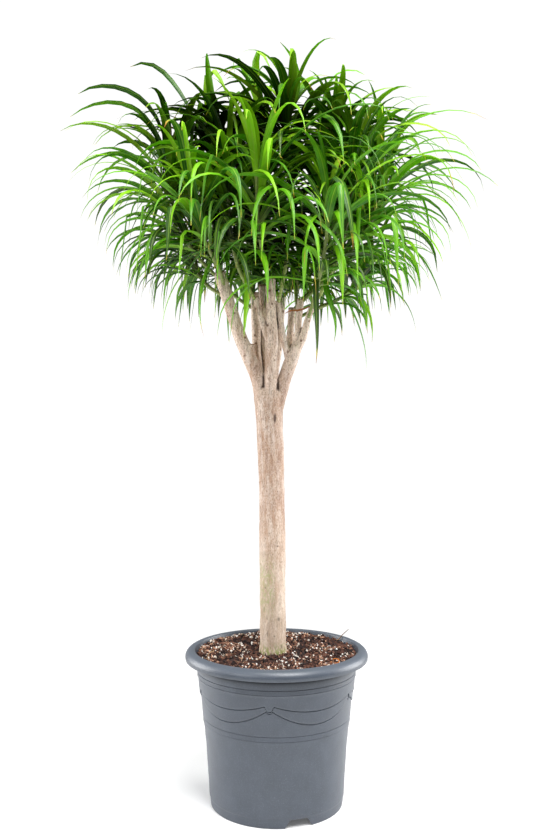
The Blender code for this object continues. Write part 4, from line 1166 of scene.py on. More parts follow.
# %% Fill the crown
FILL_SEED = 5
FILL_TRIES = 8
SLIM_LEAVES = 18
SLIM_WIDTHS = (0.45, 0.8)
INNER_LEAVES = 48
INNER_WIDTHS = (0.8, 1.25)
INNER_LEVEL = 0.45
LOW_LEAVES = 14
LOW_WIDTHS = (0.5, 0.8)
LOW_SHARES = (0.12, 0.34)
LOW_LEVEL = 0.6


def fill_shoot(rng, stem, count, widths, level, taken, shares=None):
    """More leaves for one stem, as far out as this level of the crown, from these shares of the stem."""
    added = []
    for order in range(count):
        for _ in range(FILL_TRIES):
            if shares:
                leaf = draw_leaf(rng, stem, 0, count)
                leaf["root"] = point_along(stem, rng.uniform(*shares))
                leaf["turn"] += order * GOLDEN_TURN
            else:
                leaf = draw_leaf(rng, stem, order + 0.4, count)
            leaf["width"] *= rng.uniform(*widths)
            if not has_room(leaf, level, 2):
                continue
            if not shell_tree([leaf_shell(leaf, LEAF_RINGS[1:])]).overlap(taken):
                added.append(leaf)
                break
    return added


fill_rng = random.Random(FILL_SEED)
taken = shell_tree([shell for placed in shells.values() for shell in placed])
for name in SHOOTS:
    slim = fill_shoot(fill_rng, stems[name], SLIM_LEAVES, SLIM_WIDTHS, 1, taken)
    inner = fill_shoot(fill_rng, stems[name], INNER_LEAVES, INNER_WIDTHS, INNER_LEVEL, taken)
    low = fill_shoot(fill_rng, stems[name], LOW_LEAVES, LOW_WIDTHS, LOW_LEVEL, taken,
                     LOW_SHARES)
    leaves[name] = leaves[name] + slim + inner + low
print("all leaves:", sum(len(placed) for placed in leaves.values()))

# %% [markdown]
# ## Leaves that stand out
#
# Some long leaves make the outline: they arch out of the crown's sides, hook over at its top and hang below
# it. Each one grows from a place on a stem and runs through three spots. A spot is a pixel of the photograph
# with a depth in front of or behind the trunk, which gives a place in the round. A cubic curve joins them.


# %% Leaves that stand out
PHOTO_MIDDLE_PX = (275, 420)
STANDOUT_LEAVES = [
    # shoot, share of the stem, width in millimetres, roll, then across, down and depth of three spots
    ("top_left", 0.85, 14, 0.9, (183, 97, 40), (155, 66, 30), (130, 67, 20)),
    ("left", 0.9, 15, 0.8, (150, 108, -30), (110, 86, -50), (78, 94, -60)),
    ("left", 0.8, 13, 0.9, (150, 122, -20), (110, 102, -30), (70, 117, -40)),
    ("left", 0.7, 11, 0.6, (140, 158, -30), (100, 155, -60), (71, 173, -80)),
    ("top_left", 0.9, 17, 0.5, (207, 92, 25), (213, 70, 10), (232, 108, -10)),
    ("top_back", 0.92, 13, 0.7, (256, 98, 80), (238, 60, 60), (237, 82, 45)),
    ("top_back", 0.9, 17, 0.4, (257, 98, 60), (257, 54, 20), (273, 76, 0)),
    ("top", 0.95, 9, 0.5, (298, 84, -50), (293, 59, -70), (280, 42, -90)),
    ("top_right", 0.9, 15, 0.8, (325, 94, 20), (345, 71, 10), (365, 75, 0)),
    ("right", 0.95, 13, 0.8, (398, 130, 0), (417, 113, -5), (439, 115, -10)),
    ("right_front", 0.9, 14, 0.7, (385, 132, -90), (425, 125, -110), (450, 146, -120)),
    ("right", 0.85, 14, 0.8, (415, 158, -10), (455, 152, -20), (481, 170, -30)),
    ("right", 0.75, 11, 0.7, (420, 178, -50), (462, 168, -90), (498, 186, -120)),
    ("right", 0.65, 13, 0.6, (410, 196, 20), (447, 204, 30), (471, 246, 40)),
    ("right_low", 0.9, 15, 0.7, (395, 222, 60), (425, 233, 50), (443, 262, 40)),
    ("right_low", 0.8, 13, 0.5, (400, 246, 40), (425, 262, 30), (442, 300, 20)),
    ("right_low", 0.85, 12, 0.5, (378, 282, 60), (400, 296, 60), (416, 332, 60)),
    ("front_right", 0.85, 17, 0.3, (337, 178, -180), (348, 205, -200), (353, 249, -210)),
    ("front_right", 0.4, 11, 0.2, (316, 290, -95), (317, 325, -110), (316, 364, -115)),
    ("right_front", 0.35, 11, 0.3, (326, 286, -60), (333, 310, -80), (334, 342, -85)),
    ("right_low", 0.5, 12, 0.2, (346, 300, 40), (360, 330, 40), (366, 371, 40)),
    ("right_low", 0.6, 12, 0.4, (352, 292, 30), (366, 306, 20), (372, 342, 10)),
    ("left_front", 0.35, 11, 0.3, (206, 272, -75), (200, 302, -90), (204, 337, -95)),
    ("fan", 0.3, 13, 0.2, (247, 276, -60), (246, 306, -70), (244, 338, -72)),
    ("left_low", 0.6, 12, 0.4, (188, 270, 30), (171, 294, 20), (162, 336, 15)),
    ("left_low", 0.85, 13, 0.5, (170, 240, 60), (141, 260, 50), (128, 302, 40)),
]


def at_pixel(across, down, depth):
    """The place that the camera sees at a pixel, at a depth behind the trunk in millimetres."""
    camera_x, camera_y, camera_z = CAMERA_PLACE
    y = depth * MM
    metres_per_pixel = (y - camera_y) / FOCAL_LENGTH_PX
    middle_across, middle_down = PHOTO_MIDDLE_PX
    return Vector((camera_x + (across - middle_across) * metres_per_pixel, y,
                   camera_z + (middle_down - down) * metres_per_pixel))


def standout_leaf(stem, share, width, roll, *spots):
    """A leaf whose line passes its spots at a third, at two thirds and at its tip."""
    root = point_along(stem, share)
    first, second, tip = (at_pixel(*spot) for spot in spots)
    near = (-5 * root + 18 * first - 9 * second + 2 * tip) / 6
    far = (2 * root - 9 * first + 18 * second - 5 * tip) / 6
    line = []
    for i in range(LEAF_STEPS + 1):
        t = i / LEAF_STEPS
        line.append((1 - t) ** 3 * root + 3 * t * (1 - t) ** 2 * near
                    + 3 * t * t * (1 - t) * far + t ** 3 * tip)
    return {"line": line, "turn": math.atan2(tip.y - root.y, tip.x - root.x), "drift": 0, "roll": roll,
            "rise": math.radians(20 + 40 * share), "width": width * MM}


for name, share, width, roll, *spots in STANDOUT_LEAVES:
    leaves[name].append(standout_leaf(stems[name], share, width, roll, *spots))
print("leaves that stand out:", len(STANDOUT_LEAVES))

# %% [markdown]
# ## The skin of a leaf
#
# A living blade is glossy because of its wax, and glows where light comes through it. Its veins run along
# its length, beside a paler midrib. Young blades are lime green and old ones deep green, and some tips have
# dried to yellow and brown. Deep in the crown the blades are painted near black as painted shade. The shader
# is a waxy Principled one, mixed with a little translucency.


# %% Waxy leaf blade
def waxy_leaf_blade():
    """Glossy strap leaf: lengthwise veins, pale midrib, its own green for each leaf, dried tips, and painted
    shade deep in the crown.
    """
    material, tree, shader = new_material("waxy_leaf_blade", {
        "Roughness": 0.38, "IOR": 1.42})
    across, along, tone, dry, inner = (
        add_node(tree, "ShaderNodeAttribute", attribute_name=name).outputs["Fac"]
        for name in ("across", "along", "tone", "dry", "inner"))
    blotch = add_node(tree, "ShaderNodeTexNoise", {
        "Vector": add_node(tree, "ShaderNodeTexCoord").outputs["Object"], "Scale": 1 / (30 * MM)})
    shifted = add_node(tree, "ShaderNodeMath", {0: blotch.outputs[0], 1: 0.4, 2: tone},
                       operation="MULTIPLY_ADD")
    green = add_node(tree, "ShaderNodeValToRGB", {0: shifted.outputs[0]}, stops=[
        (0.15, "#143c06"), (0.4, "#358409"), (0.7, "#74c80e"), (1.0, "#b4f222")])
    span = add_node(tree, "ShaderNodeMath", {0: across}, operation="ABSOLUTE")
    veins = add_node(tree, "ShaderNodeMath", {0: across, 1: 14.0}, operation="MULTIPLY")
    wave = add_node(tree, "ShaderNodeMath", {0: veins.outputs[0]}, operation="SINE")
    stripe = add_node(tree, "ShaderNodeMapRange", {0: wave.outputs[0], 1: 0.2, 2: 1.0, 3: 0.0, 4: 0.28})
    striped = add_node(tree, "ShaderNodeMix", {0: stripe.outputs[0], 6: green.outputs[0],
                                               7: linear("#a9dc3c")}, data_type="RGBA")
    rib = add_node(tree, "ShaderNodeMapRange", {0: span.outputs[0], 1: 0.05, 2: 0.2, 3: 0.55, 4: 0.0})
    ribbed = add_node(tree, "ShaderNodeMix", {0: rib.outputs[0], 6: striped.outputs[2],
                                              7: linear("#b4e04e")}, data_type="RGBA")
    base = add_node(tree, "ShaderNodeMapRange", {0: along, 1: 0.03, 2: 0.16, 3: 0.8, 4: 0.0})
    pale = add_node(tree, "ShaderNodeMix", {0: base.outputs[0], 6: ribbed.outputs[2],
                                            7: linear("#b4cf6a")}, data_type="RGBA")
    reach = add_node(tree, "ShaderNodeMath", {0: along, 1: dry}, operation="ADD")
    tip = add_node(tree, "ShaderNodeValToRGB", {0: reach.outputs[0]}, stops=[(0.95, 0.0), (1.0, 1.0)])
    far = add_node(tree, "ShaderNodeMapRange", {0: reach.outputs[0], 1: 1.0, 2: 1.08})
    straw = add_node(tree, "ShaderNodeMix", {0: far.outputs[0], 6: linear("#d9c83a"),
                                             7: linear("#a8662c")}, data_type="RGBA")
    dried = add_node(tree, "ShaderNodeMix", {0: tip.outputs[0], 6: pale.outputs[2],
                                             7: straw.outputs[2]}, data_type="RGBA")
    # Painted shade: the inner attribute darkens blades deep in the crown towards near black, and takes away
    # their gloss.
    shade = add_node(tree, "ShaderNodeMix", {0: inner, 6: dried.outputs[2], 7: linear("#050d03")},
                     data_type="RGBA")
    tree.links.new(shade.outputs[2], shader.inputs["Base Color"])
    gloss = add_node(tree, "ShaderNodeMapRange", {0: inner, 1: 0.0, 2: 0.7, 3: 0.75, 4: 0.05})
    tree.links.new(gloss.outputs[0], shader.inputs["Specular IOR Level"])
    bump = add_node(tree, "ShaderNodeBump", {"Height": wave.outputs[0], "Strength": 0.25,
                                             "Distance": 0.3 * MM})
    tree.links.new(bump.outputs[0], shader.inputs["Normal"])
    glow = add_node(tree, "ShaderNodeBsdfTranslucent", {"Color": shade.outputs[2]})
    mixed = add_node(tree, "ShaderNodeMixShader", {0: 0.25, 1: shader.outputs[0], 2: glow.outputs[0]})
    tree.links.new(mixed.outputs[0], tree.nodes["Material Output"].inputs["Surface"])
    return material


# %% [markdown]
# ## The skin of a stem
#
# Every fallen leaf leaves a ring on the stem. Between the rings the young stem is pale yellow green, and
# each ring has a thin darker line. The ring attribute runs from 0 to 1 between one scar and the next. Where
# the crown would shade a stem, it is darkened as painted shade.


# %% Ringed green stem
def ringed_stem():
    """Pale yellow-green young stem, with a thin brown line at each leaf scar, darkened by painted shade in
    the crown.
    """
    material, tree, shader = new_material("ringed_green_stem", {"Roughness": 0.5})
    ring = add_node(tree, "ShaderNodeAttribute", attribute_name="ring").outputs["Fac"]
    inner = add_node(tree, "ShaderNodeAttribute", attribute_name="inner").outputs["Fac"]
    place = add_node(tree, "ShaderNodeTexCoord").outputs["Object"]
    cloud = add_node(tree, "ShaderNodeTexNoise", {"Vector": place, "Scale": 1 / (9 * MM), "Detail": 3})
    green = add_node(tree, "ShaderNodeValToRGB", {0: cloud.outputs[0]}, stops=[
        (0.35, "#8fa544"), (0.5, "#b3c566"), (0.65, "#cdd68a")])
    scar = add_node(tree, "ShaderNodeValToRGB", {0: ring}, stops=[(0.12, 0.8), (0.3, 0.0)])
    scarred = add_node(tree, "ShaderNodeMix", {0: scar.outputs[0], 6: green.outputs[0],
                                               7: linear("#6f7a33")}, data_type="RGBA")
    # Painted shade: the inner attribute darkens the stem where the crown would shade it.
    shade = add_node(tree, "ShaderNodeMix", {0: inner, 6: scarred.outputs[2], 7: linear("#3c4a1c")},
                     data_type="RGBA")
    tree.links.new(shade.outputs[2], shader.inputs["Base Color"])
    return material


leaf_skin = waxy_leaf_blade()
stem_skin = ringed_stem()

# %% [markdown]
# ## Growing a shoot
#
# One carrier mesh holds a shoot's lines: its stem, and the centre line of each leaf. Every point knows its
# half width and which way the blade's side faces. The tree resamples the lines, sweeps a thin channelled
# section along each leaf, and sweeps a ringed tube along the stem.


# %% The blade's section
FOLD = 1.7
BLADE_THICKNESS = 0.075


def blade_section():
    """A closed channel: two wings that rise from the midrib, and a thin underside."""
    keel = 2 * FOLD * LEAF_KEEL / LEAF_WIDTH
    corners = [(1, 0), (0.5, -0.62 * keel), (0, -keel), (-0.5, -0.62 * keel), (-1, 0),
               (0, -keel - BLADE_THICKNESS)]
    mesh = bpy.data.meshes.new("blade_section")
    count = len(corners)
    mesh.from_pydata([(x, y, 0) for x, y in corners], [(i, (i + 1) % count) for i in range(count)], [])
    across = mesh.attributes.new("across", "FLOAT", "POINT")
    across.data.foreach_set("value", [x for x, _ in corners])
    section = link_object("blade_section", mesh)
    section.hide_render = True
    return section


# %% The tree that grows a shoot
def shoot_tree():
    tree, given = new_tree("grow_shoot", {
        "Blade Section": "Object", "Leaf Segments": "Int", "Stem Sides": "Int", "Stem Step": "Float",
        "Scar Spacing": "Float", "Scar Height": "Float", "Leaf Material": "Material",
        "Stem Material": "Material"})
    lines = add_node(tree, "GeometryNodeMeshToCurve", {0: given["Geometry"]})
    half_width, stem_mark = (add_node(tree, "GeometryNodeInputNamedAttribute", {"Name": name}).outputs[0]
                             for name in ("half_width", "is_stem"))
    side = add_node(tree, "GeometryNodeInputNamedAttribute", {"Name": "side"}, data_type="FLOAT_VECTOR")
    is_stem = add_node(tree, "FunctionNodeCompare", {0: stem_mark, 1: 0.5}, operation="GREATER_THAN")
    parted = add_node(tree, "GeometryNodeSeparateGeometry", {0: lines.outputs[0],
                                                             1: is_stem.outputs[0]}, domain="CURVE")
    arch = add_node(tree, "GeometryNodeCurveSplineType", {0: parted.outputs["Inverted"]},
                    spline_type="CATMULL_ROM")
    blades = add_node(tree, "GeometryNodeResampleCurve", {0: arch.outputs[0],
                                                          "Count": given["Leaf Segments"]})
    facing = add_node(tree, "GeometryNodeSetCurveNormal", {
        0: blades.outputs[0], 2: side.outputs[0]}, mode="FREE")
    section = add_node(tree, "GeometryNodeObjectInfo", {0: given["Blade Section"]})
    channel = add_node(tree, "GeometryNodeMeshToCurve", {0: section.outputs["Geometry"]})
    leaf = add_node(tree, "GeometryNodeCurveToMesh", {
        0: facing.outputs[0], 1: channel.outputs[0], "Scale": half_width, "Fill Caps": True})
    green = add_node(tree, "GeometryNodeSetMaterial", {0: leaf.outputs[0],
                                                       "Material": given["Leaf Material"]})
    bend = add_node(tree, "GeometryNodeCurveSplineType", {0: parted.outputs["Selection"]},
                    spline_type="CATMULL_ROM")
    stem = add_node(tree, "GeometryNodeResampleCurve", {0: bend.outputs[0],
                                                        "Length": given["Stem Step"]}, mode="LENGTH")
    length = add_node(tree, "GeometryNodeSplineParameter").outputs["Length"]
    turns = add_node(tree, "ShaderNodeMath", {0: length, 1: given["Scar Spacing"]}, operation="DIVIDE")
    ring = add_node(tree, "ShaderNodeMath", {0: turns.outputs[0]}, operation="FRACT")
    marked = add_node(tree, "GeometryNodeStoreNamedAttribute", {
        0: stem.outputs[0], "Name": "ring", "Value": ring.outputs[0]})
    swell = add_node(tree, "ShaderNodeMath", {0: ring.outputs[0], 1: given["Scar Height"]},
                     operation="MULTIPLY")
    radius = add_node(tree, "ShaderNodeMath", {0: half_width, 1: swell.outputs[0]},
                      operation="SUBTRACT")
    circle = add_node(tree, "GeometryNodeCurvePrimitiveCircle", {"Resolution": given["Stem Sides"],
                                                                 "Radius": 1.0})
    tube = add_node(tree, "GeometryNodeCurveToMesh", {
        0: marked.outputs[0], 1: circle.outputs[0], "Scale": radius.outputs[0], "Fill Caps": True})
    pale = add_node(tree, "GeometryNodeSetMaterial", {0: tube.outputs[0],
                                                      "Material": given["Stem Material"]})
    both = add_node(tree, "GeometryNodeJoinGeometry", {0: green.outputs[0]})
    tree.links.new(pale.outputs[0], both.inputs[0])
    realised = add_node(tree, "GeometryNodeRealizeInstances", {0: both.outputs[0]})
    add_node(tree, "NodeGroupOutput", {0: realised.outputs[0]})
    return tree


# %% [markdown]
# ## What each leaf carries
#
# A leaf's green, its dried tip and its painted shade are drawn once for the whole blade, or worked out from
# its place. Blades deep inside the crown get the darkest painted shade, where little light comes, though on
# some of them it fades towards the tip, as painted light where they would catch the sun.

# %% Carrier mesh of one shoot
TONE_SEED = 11
STEMS_WITHOUT_PAINTED_SHADE = ("top", "right_front", "fan")
STEM_SHADE = 0.6
DARKEST = 0.97
THREAD_HALF_WIDTH = 0.25 * MM
DRIED_PART = 0.15
# Painted shade: the crown's heart and its offset outline set how dark each point of a blade is painted.
HEART_CENTRE = Vector((-0.03, 0.05, 1.14))
HEART_REACH = Vector((0.27, 0.27, 0.25))
UNEVENNESS = Vector((0.045, -0.03, 0))
tone_rng = random.Random(TONE_SEED)


def depth_in_crown(point):
    """Near 1 in the heart of the crown, where little light comes, falling to 0 towards its outline."""
    offset = point - HEART_CENTRE
    away = Vector(a / reach for a, reach in zip(offset, HEART_REACH)).length
    level = crown_level(point + UNEVENNESS) ** 0.45
    return max(0, min(DARKEST, max(1.65 - 1.5 * away, 1.6 - 1.9 * level)))


def youth(leaf):
    """0 for a leaf that spreads low on its stem, 1 for one that stands at the top."""
    return max(0, min(1, (leaf["rise"] - math.radians(LOW_RISE)) / math.radians(RISE_GAIN)))


def blade_width(share):
    """The solid leaf's width, drawn out a little finer towards the tip."""
    return leaf_width(share) * (1 - 0.5 * max(0, share - 0.5))


def shoot_carrier(name):
    """The stem and the leaves' centre lines, with what every point needs."""
    lines = [stems[name]]
    count = len(stems[name])
    # Painted shade on the stems: all but a few get at least this much, or the crown's painted shade where
    # that is darker.
    shade = 0.0 if name in STEMS_WITHOUT_PAINTED_SHADE else STEM_SHADE
    values = {"half_width": stem_radii(), "side": [Vector((1, 0, 0))] * count, "is_stem": [1.0] * count,
              "along": [0.0] * count, "tone": [0.0] * count, "dry": [0.0] * count,
              "inner": [max(shade, depth_in_crown(point)) for point in stems[name]]}
    for leaf in leaves[name]:
        points = leaf["line"] if "line" in leaf else leaf_line(leaf)
        tone = 0.03 + 0.35 * youth(leaf) + tone_rng.uniform(-0.2, 0.6)
        dry = tone_rng.uniform(0.0, 0.12) if tone_rng.random() < DRIED_PART else 0.0
        # Painted light: on some blades the painted shade fades towards the tip, as if they caught the sun.
        lit = max(0, tone_rng.uniform(-0.6, 0.5))
        for i, point in enumerate(points):
            _, under = leaf_frame(leaf, points, i)
            along = (points[min(i + 1, LEAF_STEPS)] - points[max(i - 1, 0)]).normalized()
            share = i / LEAF_STEPS
            values["half_width"].append(max(THREAD_HALF_WIDTH, leaf["width"] * blade_width(share) / 2))
            values["side"].append(under.cross(along).normalized())
            values["is_stem"].append(0.0)
            values["along"].append(share)
            values["tone"].append(tone)
            values["dry"].append(dry)
            values["inner"].append(max(0, depth_in_crown(point) - lit * share))
        lines.append(points)
    return line_mesh("shoot_lines", lines, **values)


# %% Grow the shoots
grow_shoot = shoot_tree()
section = blade_section()
SHOOT_SIZES = {"Leaf Segments": 13, "Stem Sides": 12, "Stem Step": 1.4 * MM, "Scar Spacing": 5.5 * MM,
               "Scar Height": 0.45 * MM, "Leaf Material": leaf_skin, "Stem Material": stem_skin}
for name in SHOOTS:
    foliage = grow("foliage_" + name, grow_shoot, shoot_carrier(name), {
        "Blade Section": section, **SHOOT_SIZES})
    finish_piece(foliage, "foliage", "shoot_" + name, sharp=50)

# %% [markdown]
# ## Potting mix
#
# The mix is dark peat with composted bark, coir and perlite. It sits a centimetre below the rim and is
# heaped a little towards the back. First comes the lump of peat itself, a closed body that fills the pot,
# with a crumbly top that follows the solid model's waves and adds finer noise.


# %% Dark peat
def dark_peat():
    """Moist peat: near black with brown crumbs, rough all over."""
    material, tree, shader = new_material("dark_peat", {"Roughness": 0.95})
    place = add_node(tree, "ShaderNodeTexCoord").outputs["Object"]
    crumb = add_node(tree, "ShaderNodeTexNoise", {"Vector": place, "Scale": 1 / (3 * MM), "Detail": 6})
    cloud = add_node(tree, "ShaderNodeTexNoise", {"Vector": place, "Scale": 1 / (30 * MM), "Detail": 2})
    both = add_node(tree, "ShaderNodeMath", {0: crumb.outputs[0], 1: cloud.outputs[0]}, operation="ADD")
    half = add_node(tree, "ShaderNodeMath", {0: both.outputs[0], 1: 0.5}, operation="MULTIPLY")
    colour = add_node(tree, "ShaderNodeValToRGB", {0: half.outputs[0]}, stops=[
        (0.4, "#170d0b"), (0.5, "#331c15"), (0.6, "#573124")])
    tree.links.new(colour.outputs[0], shader.inputs["Base Color"])
    bump = add_node(tree, "ShaderNodeBump", {"Height": crumb.outputs[0], "Strength": 1.0,
                                             "Distance": 1.5 * MM})
    tree.links.new(bump.outputs[0], shader.inputs["Normal"])
    return material


# %% The lump of peat
SOIL_HEIGHT = 278 * MM
SOIL_LUMP = 3.5 * MM
SOIL_COLUMNS = 220
SOIL_RINGS = 46
TRUNK_HOLE = 27.3 * MM
TRUNK_X = -6.7 * MM
TRUNK_FOOT = 130 * MM


def soil_top(x, y):
    """Height of the mix: the solid's waves, a heap at the back, and crumbs."""
    waves = math.sin(61 * x + 1.3) * math.cos(53 * y - 0.4) + 0.6 * math.sin(127 * x - 88 * y)
    crumbs = noise.fractal(Vector((x, y, 0)) / (13 * MM), 0.7, 2.1, 4) * 1.6 * MM
    return SOIL_HEIGHT + SOIL_LUMP * 0.6 * waves / 1.6 + crumbs + 0.014 * y


def peat_mesh():
    """Rings from under the floor's edge, up the wall, over the top and down round the trunk."""
    wall = [(118 * MM, 20 * MM), (121.5 * MM, 22 * MM), (132.4 * MM, STEP_BOTTOM),
            (139.2 * MM, COLLAR_BOTTOM), (144.4 * MM, COLLAR_TOP), (147.6 * MM, 274 * MM)]
    edge = wall[-1][0]
    rings = []
    for column in range(SOIL_COLUMNS):
        angle = 2 * math.pi * column / SOIL_COLUMNS
        ray = Vector((math.cos(angle), math.sin(angle), 0))
        hole = Vector((TRUNK_X, 0, 0)) + ray * TRUNK_HOLE
        column_points = [Vector((ray.x * r, ray.y * r, z)) for r, z in wall]
        for ring in range(1, SOIL_RINGS + 1):
            flat = (ray * edge).lerp(hole, ring / SOIL_RINGS)
            column_points.append(Vector((flat.x, flat.y, soil_top(flat.x, flat.y))))
        column_points.append(Vector((hole.x, hole.y, TRUNK_FOOT)))
        rings.append(column_points)
    count = len(rings[0])
    points = [point for column_points in rings for point in column_points]
    faces = []
    for column in range(SOIL_COLUMNS):
        after = (column + 1) % SOIL_COLUMNS
        for k in range(count - 1):
            faces.append((column * count + k, after * count + k, after * count + k + 1,
                          column * count + k + 1))
    faces.append([column * count for column in reversed(range(SOIL_COLUMNS))])
    faces.append([column * count + count - 1 for column in range(SOIL_COLUMNS)])
    mesh = bpy.data.meshes.new("peat")
    mesh.from_pydata(points, [], faces)
    return mesh


peat = link_object("peat", peat_mesh())
peat.data.materials.append(dark_peat())
finish_piece(peat, "potting_mix", "soil", sharp=50)

# %% [markdown]
# ## What lies in the mix
#
# Crumbs of peat, chips of composted bark, coir fibres and white perlite cover the top. One tree scatters
# any of them: it draws points on the top faces, more in some patches and round two loose clumps, sets a
# shape on each at a random turn and size, and gives every piece its own tone.


# %% The tree that scatters grains
def scatter_tree():
    tree, given = new_tree("scatter_grains", {
        "Grain": "Object", "Density": "Float", "Seed": "Int", "Smallest": "Vector", "Largest": "Vector",
        "Tilt": "Float", "Lift": "Float", "Lowest": "Float", "Patch Size": "Float", "Bare": "Float",
        "Left Clump": "Vector", "Back Clump": "Vector", "Clump Radius": "Float",
        "Material": "Material"})
    place = add_node(tree, "GeometryNodeInputPosition").outputs[0]
    height = add_node(tree, "ShaderNodeSeparateXYZ", {0: place}).outputs[2]
    upper = add_node(tree, "FunctionNodeCompare", {0: height, 1: given["Lowest"]},
                     operation="GREATER_THAN")
    scale = add_node(tree, "ShaderNodeMath", {0: 1.0, 1: given["Patch Size"]}, operation="DIVIDE")
    cloud = add_node(tree, "ShaderNodeTexNoise", {"Vector": place, "Scale": scale.outputs[0],
                                                  "Detail": 2})
    cover = cloud.outputs[0]
    for clump in ("Left Clump", "Back Clump"):
        away = add_node(tree, "ShaderNodeVectorMath", {0: place, 1: given[clump]},
                        operation="DISTANCE")
        near = add_node(tree, "ShaderNodeMapRange", {0: away.outputs["Value"],
                                                     2: given["Clump Radius"], 3: 0.3, 4: 0.0})
        cover = add_node(tree, "ShaderNodeMath", {0: cover, 1: near.outputs[0]}).outputs[0]
    patch = add_node(tree, "ShaderNodeMapRange", {0: cover, 1: given["Bare"], 2: 0.75})
    density = add_node(tree, "ShaderNodeMath", {0: patch.outputs[0], 1: given["Density"]},
                       operation="MULTIPLY")
    points = add_node(tree, "GeometryNodeDistributePointsOnFaces", {
        "Mesh": given["Geometry"], "Selection": upper.outputs[0], "Density": density.outputs[0],
        "Seed": given["Seed"]})
    shape = add_node(tree, "GeometryNodeObjectInfo", {0: given["Grain"]})
    tilt = add_node(tree, "ShaderNodeVectorMath", {0: (1, 1, 0), "Scale": given["Tilt"]},
                    operation="SCALE")
    most = add_node(tree, "ShaderNodeVectorMath", {0: tilt.outputs[0], 1: (0, 0, 2 * math.pi)})
    least = add_node(tree, "ShaderNodeVectorMath", {0: tilt.outputs[0], "Scale": -1.0},
                     operation="SCALE")
    turn = add_node(tree, "FunctionNodeRandomValue", {0: least.outputs[0], 1: most.outputs[0],
                                                      "Seed": given["Seed"]}, data_type="FLOAT_VECTOR")
    rotation = add_node(tree, "FunctionNodeEulerToRotation", {0: turn.outputs[0]})
    other_seed = add_node(tree, "ShaderNodeMath", {0: given["Seed"], 1: 7.0}, operation="ADD")
    size = add_node(tree, "FunctionNodeRandomValue", {
        0: given["Smallest"], 1: given["Largest"], "Seed": other_seed.outputs[0]},
        data_type="FLOAT_VECTOR")
    grains = add_node(tree, "GeometryNodeInstanceOnPoints", {
        "Points": points.outputs[0], "Instance": shape.outputs["Geometry"],
        "Rotation": rotation.outputs[0], "Scale": size.outputs[0]})
    tone = add_node(tree, "FunctionNodeRandomValue", {"Seed": given["Seed"]})
    toned = add_node(tree, "GeometryNodeStoreNamedAttribute", {
        0: grains.outputs[0], "Name": "tone", "Value": tone.outputs["Value"]}, domain="INSTANCE")
    realised = add_node(tree, "GeometryNodeRealizeInstances", {0: toned.outputs[0]})
    up = add_node(tree, "ShaderNodeCombineXYZ", {2: given["Lift"]})
    lifted = add_node(tree, "GeometryNodeSetPosition", {0: realised.outputs[0], "Offset": up.outputs[0]})
    dressed = add_node(tree, "GeometryNodeSetMaterial", {0: lifted.outputs[0],
                                                         "Material": given["Material"]})
    add_node(tree, "NodeGroupOutput", {0: dressed.outputs[0]})
    return tree


scatter_grains = scatter_tree()


# %% Shapes of the grains
def lump(name, seed, roughness):
    """A small uneven stone, one unit across."""
    shape = bmesh.new()
    bmesh.ops.create_icosphere(shape, subdivisions=1, radius=0.5)
    rng = random.Random(seed)
    for vertex in shape.verts:
        vertex.co *= 1 + rng.uniform(-roughness, roughness)
    return shape_object(name, shape)


def thread(name):
    """A curved fibre, one unit long, with a triangular section."""
    shape = bmesh.new()
    rings = []
    for i in range(7):
        t = i / 6 - 0.5
        bow = 0.28 * (0.25 - t * t) + 0.05 * math.sin(9 * t)
        thin = 0.022 * (1 - 1.6 * t * t)
        rings.append([shape.verts.new((t, bow + thin * math.cos(turn), thin * math.sin(turn)))
                      for turn in (0, 2.1, 4.2)])
    for near, far in zip(rings, rings[1:]):
        for k in range(3):
            shape.faces.new((near[k], near[(k + 1) % 3], far[(k + 1) % 3], far[k]))
    shape.faces.new(list(reversed(rings[0])))
    shape.faces.new(rings[-1])
    bmesh.ops.recalc_face_normals(shape, faces=shape.faces)
    return shape_object(name, shape)


# %% [markdown]
# ## Finishes of the grains
#
# The grains differ in colour more than in shape, so one function makes a matt material from three colours,
# dark to light. Each grain's own tone picks its place between them, and noise breaks it up.


# %% Finishes of the grains
def grain_finish(name, dark, middle, light, grain_mm):
    """Matt crumb, chip or fibre: each grain has its own tone, broken up by fine noise."""
    material, tree, shader = new_material(name, {"Roughness": 0.9})
    tone = add_node(tree, "ShaderNodeAttribute", attribute_name="tone").outputs["Fac"]
    place = add_node(tree, "ShaderNodeTexCoord").outputs["Object"]
    fine = add_node(tree, "ShaderNodeTexNoise", {"Vector": place, "Scale": 1 / (grain_mm * MM),
                                                 "Detail": 3})
    shifted = add_node(tree, "ShaderNodeMath", {0: fine.outputs[0], 1: 0.6, 2: tone},
                       operation="MULTIPLY_ADD")
    colour = add_node(tree, "ShaderNodeValToRGB", {0: shifted.outputs[0]},
                      stops=[(0.3, dark), (0.75, middle), (1.2, light)])
    tree.links.new(colour.outputs[0], shader.inputs["Base Color"])
    return material


# %% Scatter the grains
LEFT_CLUMP = Vector((-106, 34, 280)) * MM
BACK_CLUMP = Vector((31, 132, 283)) * MM
GRAINS = {
    "peat_crumbs": (lump("crumb", 1, 0.3), 46000, (2, 2, 1.6), (10, 9, 7), 3.1, 0.4, 0.1,
                    grain_finish("peat_crumb", "#140b0a", "#38201a", "#6f4a3b", 2)),
    "bark_chips": (lump("chip", 2, 0.35), 38000, (2.6, 1.6, 1), (12, 6, 2.8), 0.8, 1.3, 0.5,
                   grain_finish("composted_bark", "#3e241c", "#875947", "#cfa084", 2)),
    "coir_fibres": (thread("fibre"), 34000, (7, 7, 9), (20, 20, 18), 0.5, 2.0, 0.5,
                    grain_finish("coir_fibre", "#643d2f", "#a87659", "#e8bf9e", 3)),
    "perlite": (lump("perlite_grain", 3, 0.3), 15000, (1.2, 1.2, 1), (6.8, 5.6, 4.8), 3.1, 2, 0.4,
                grain_finish("expanded_perlite", "#dccbb9", "#f6ecdf", "#fffcf6", 1)),
}
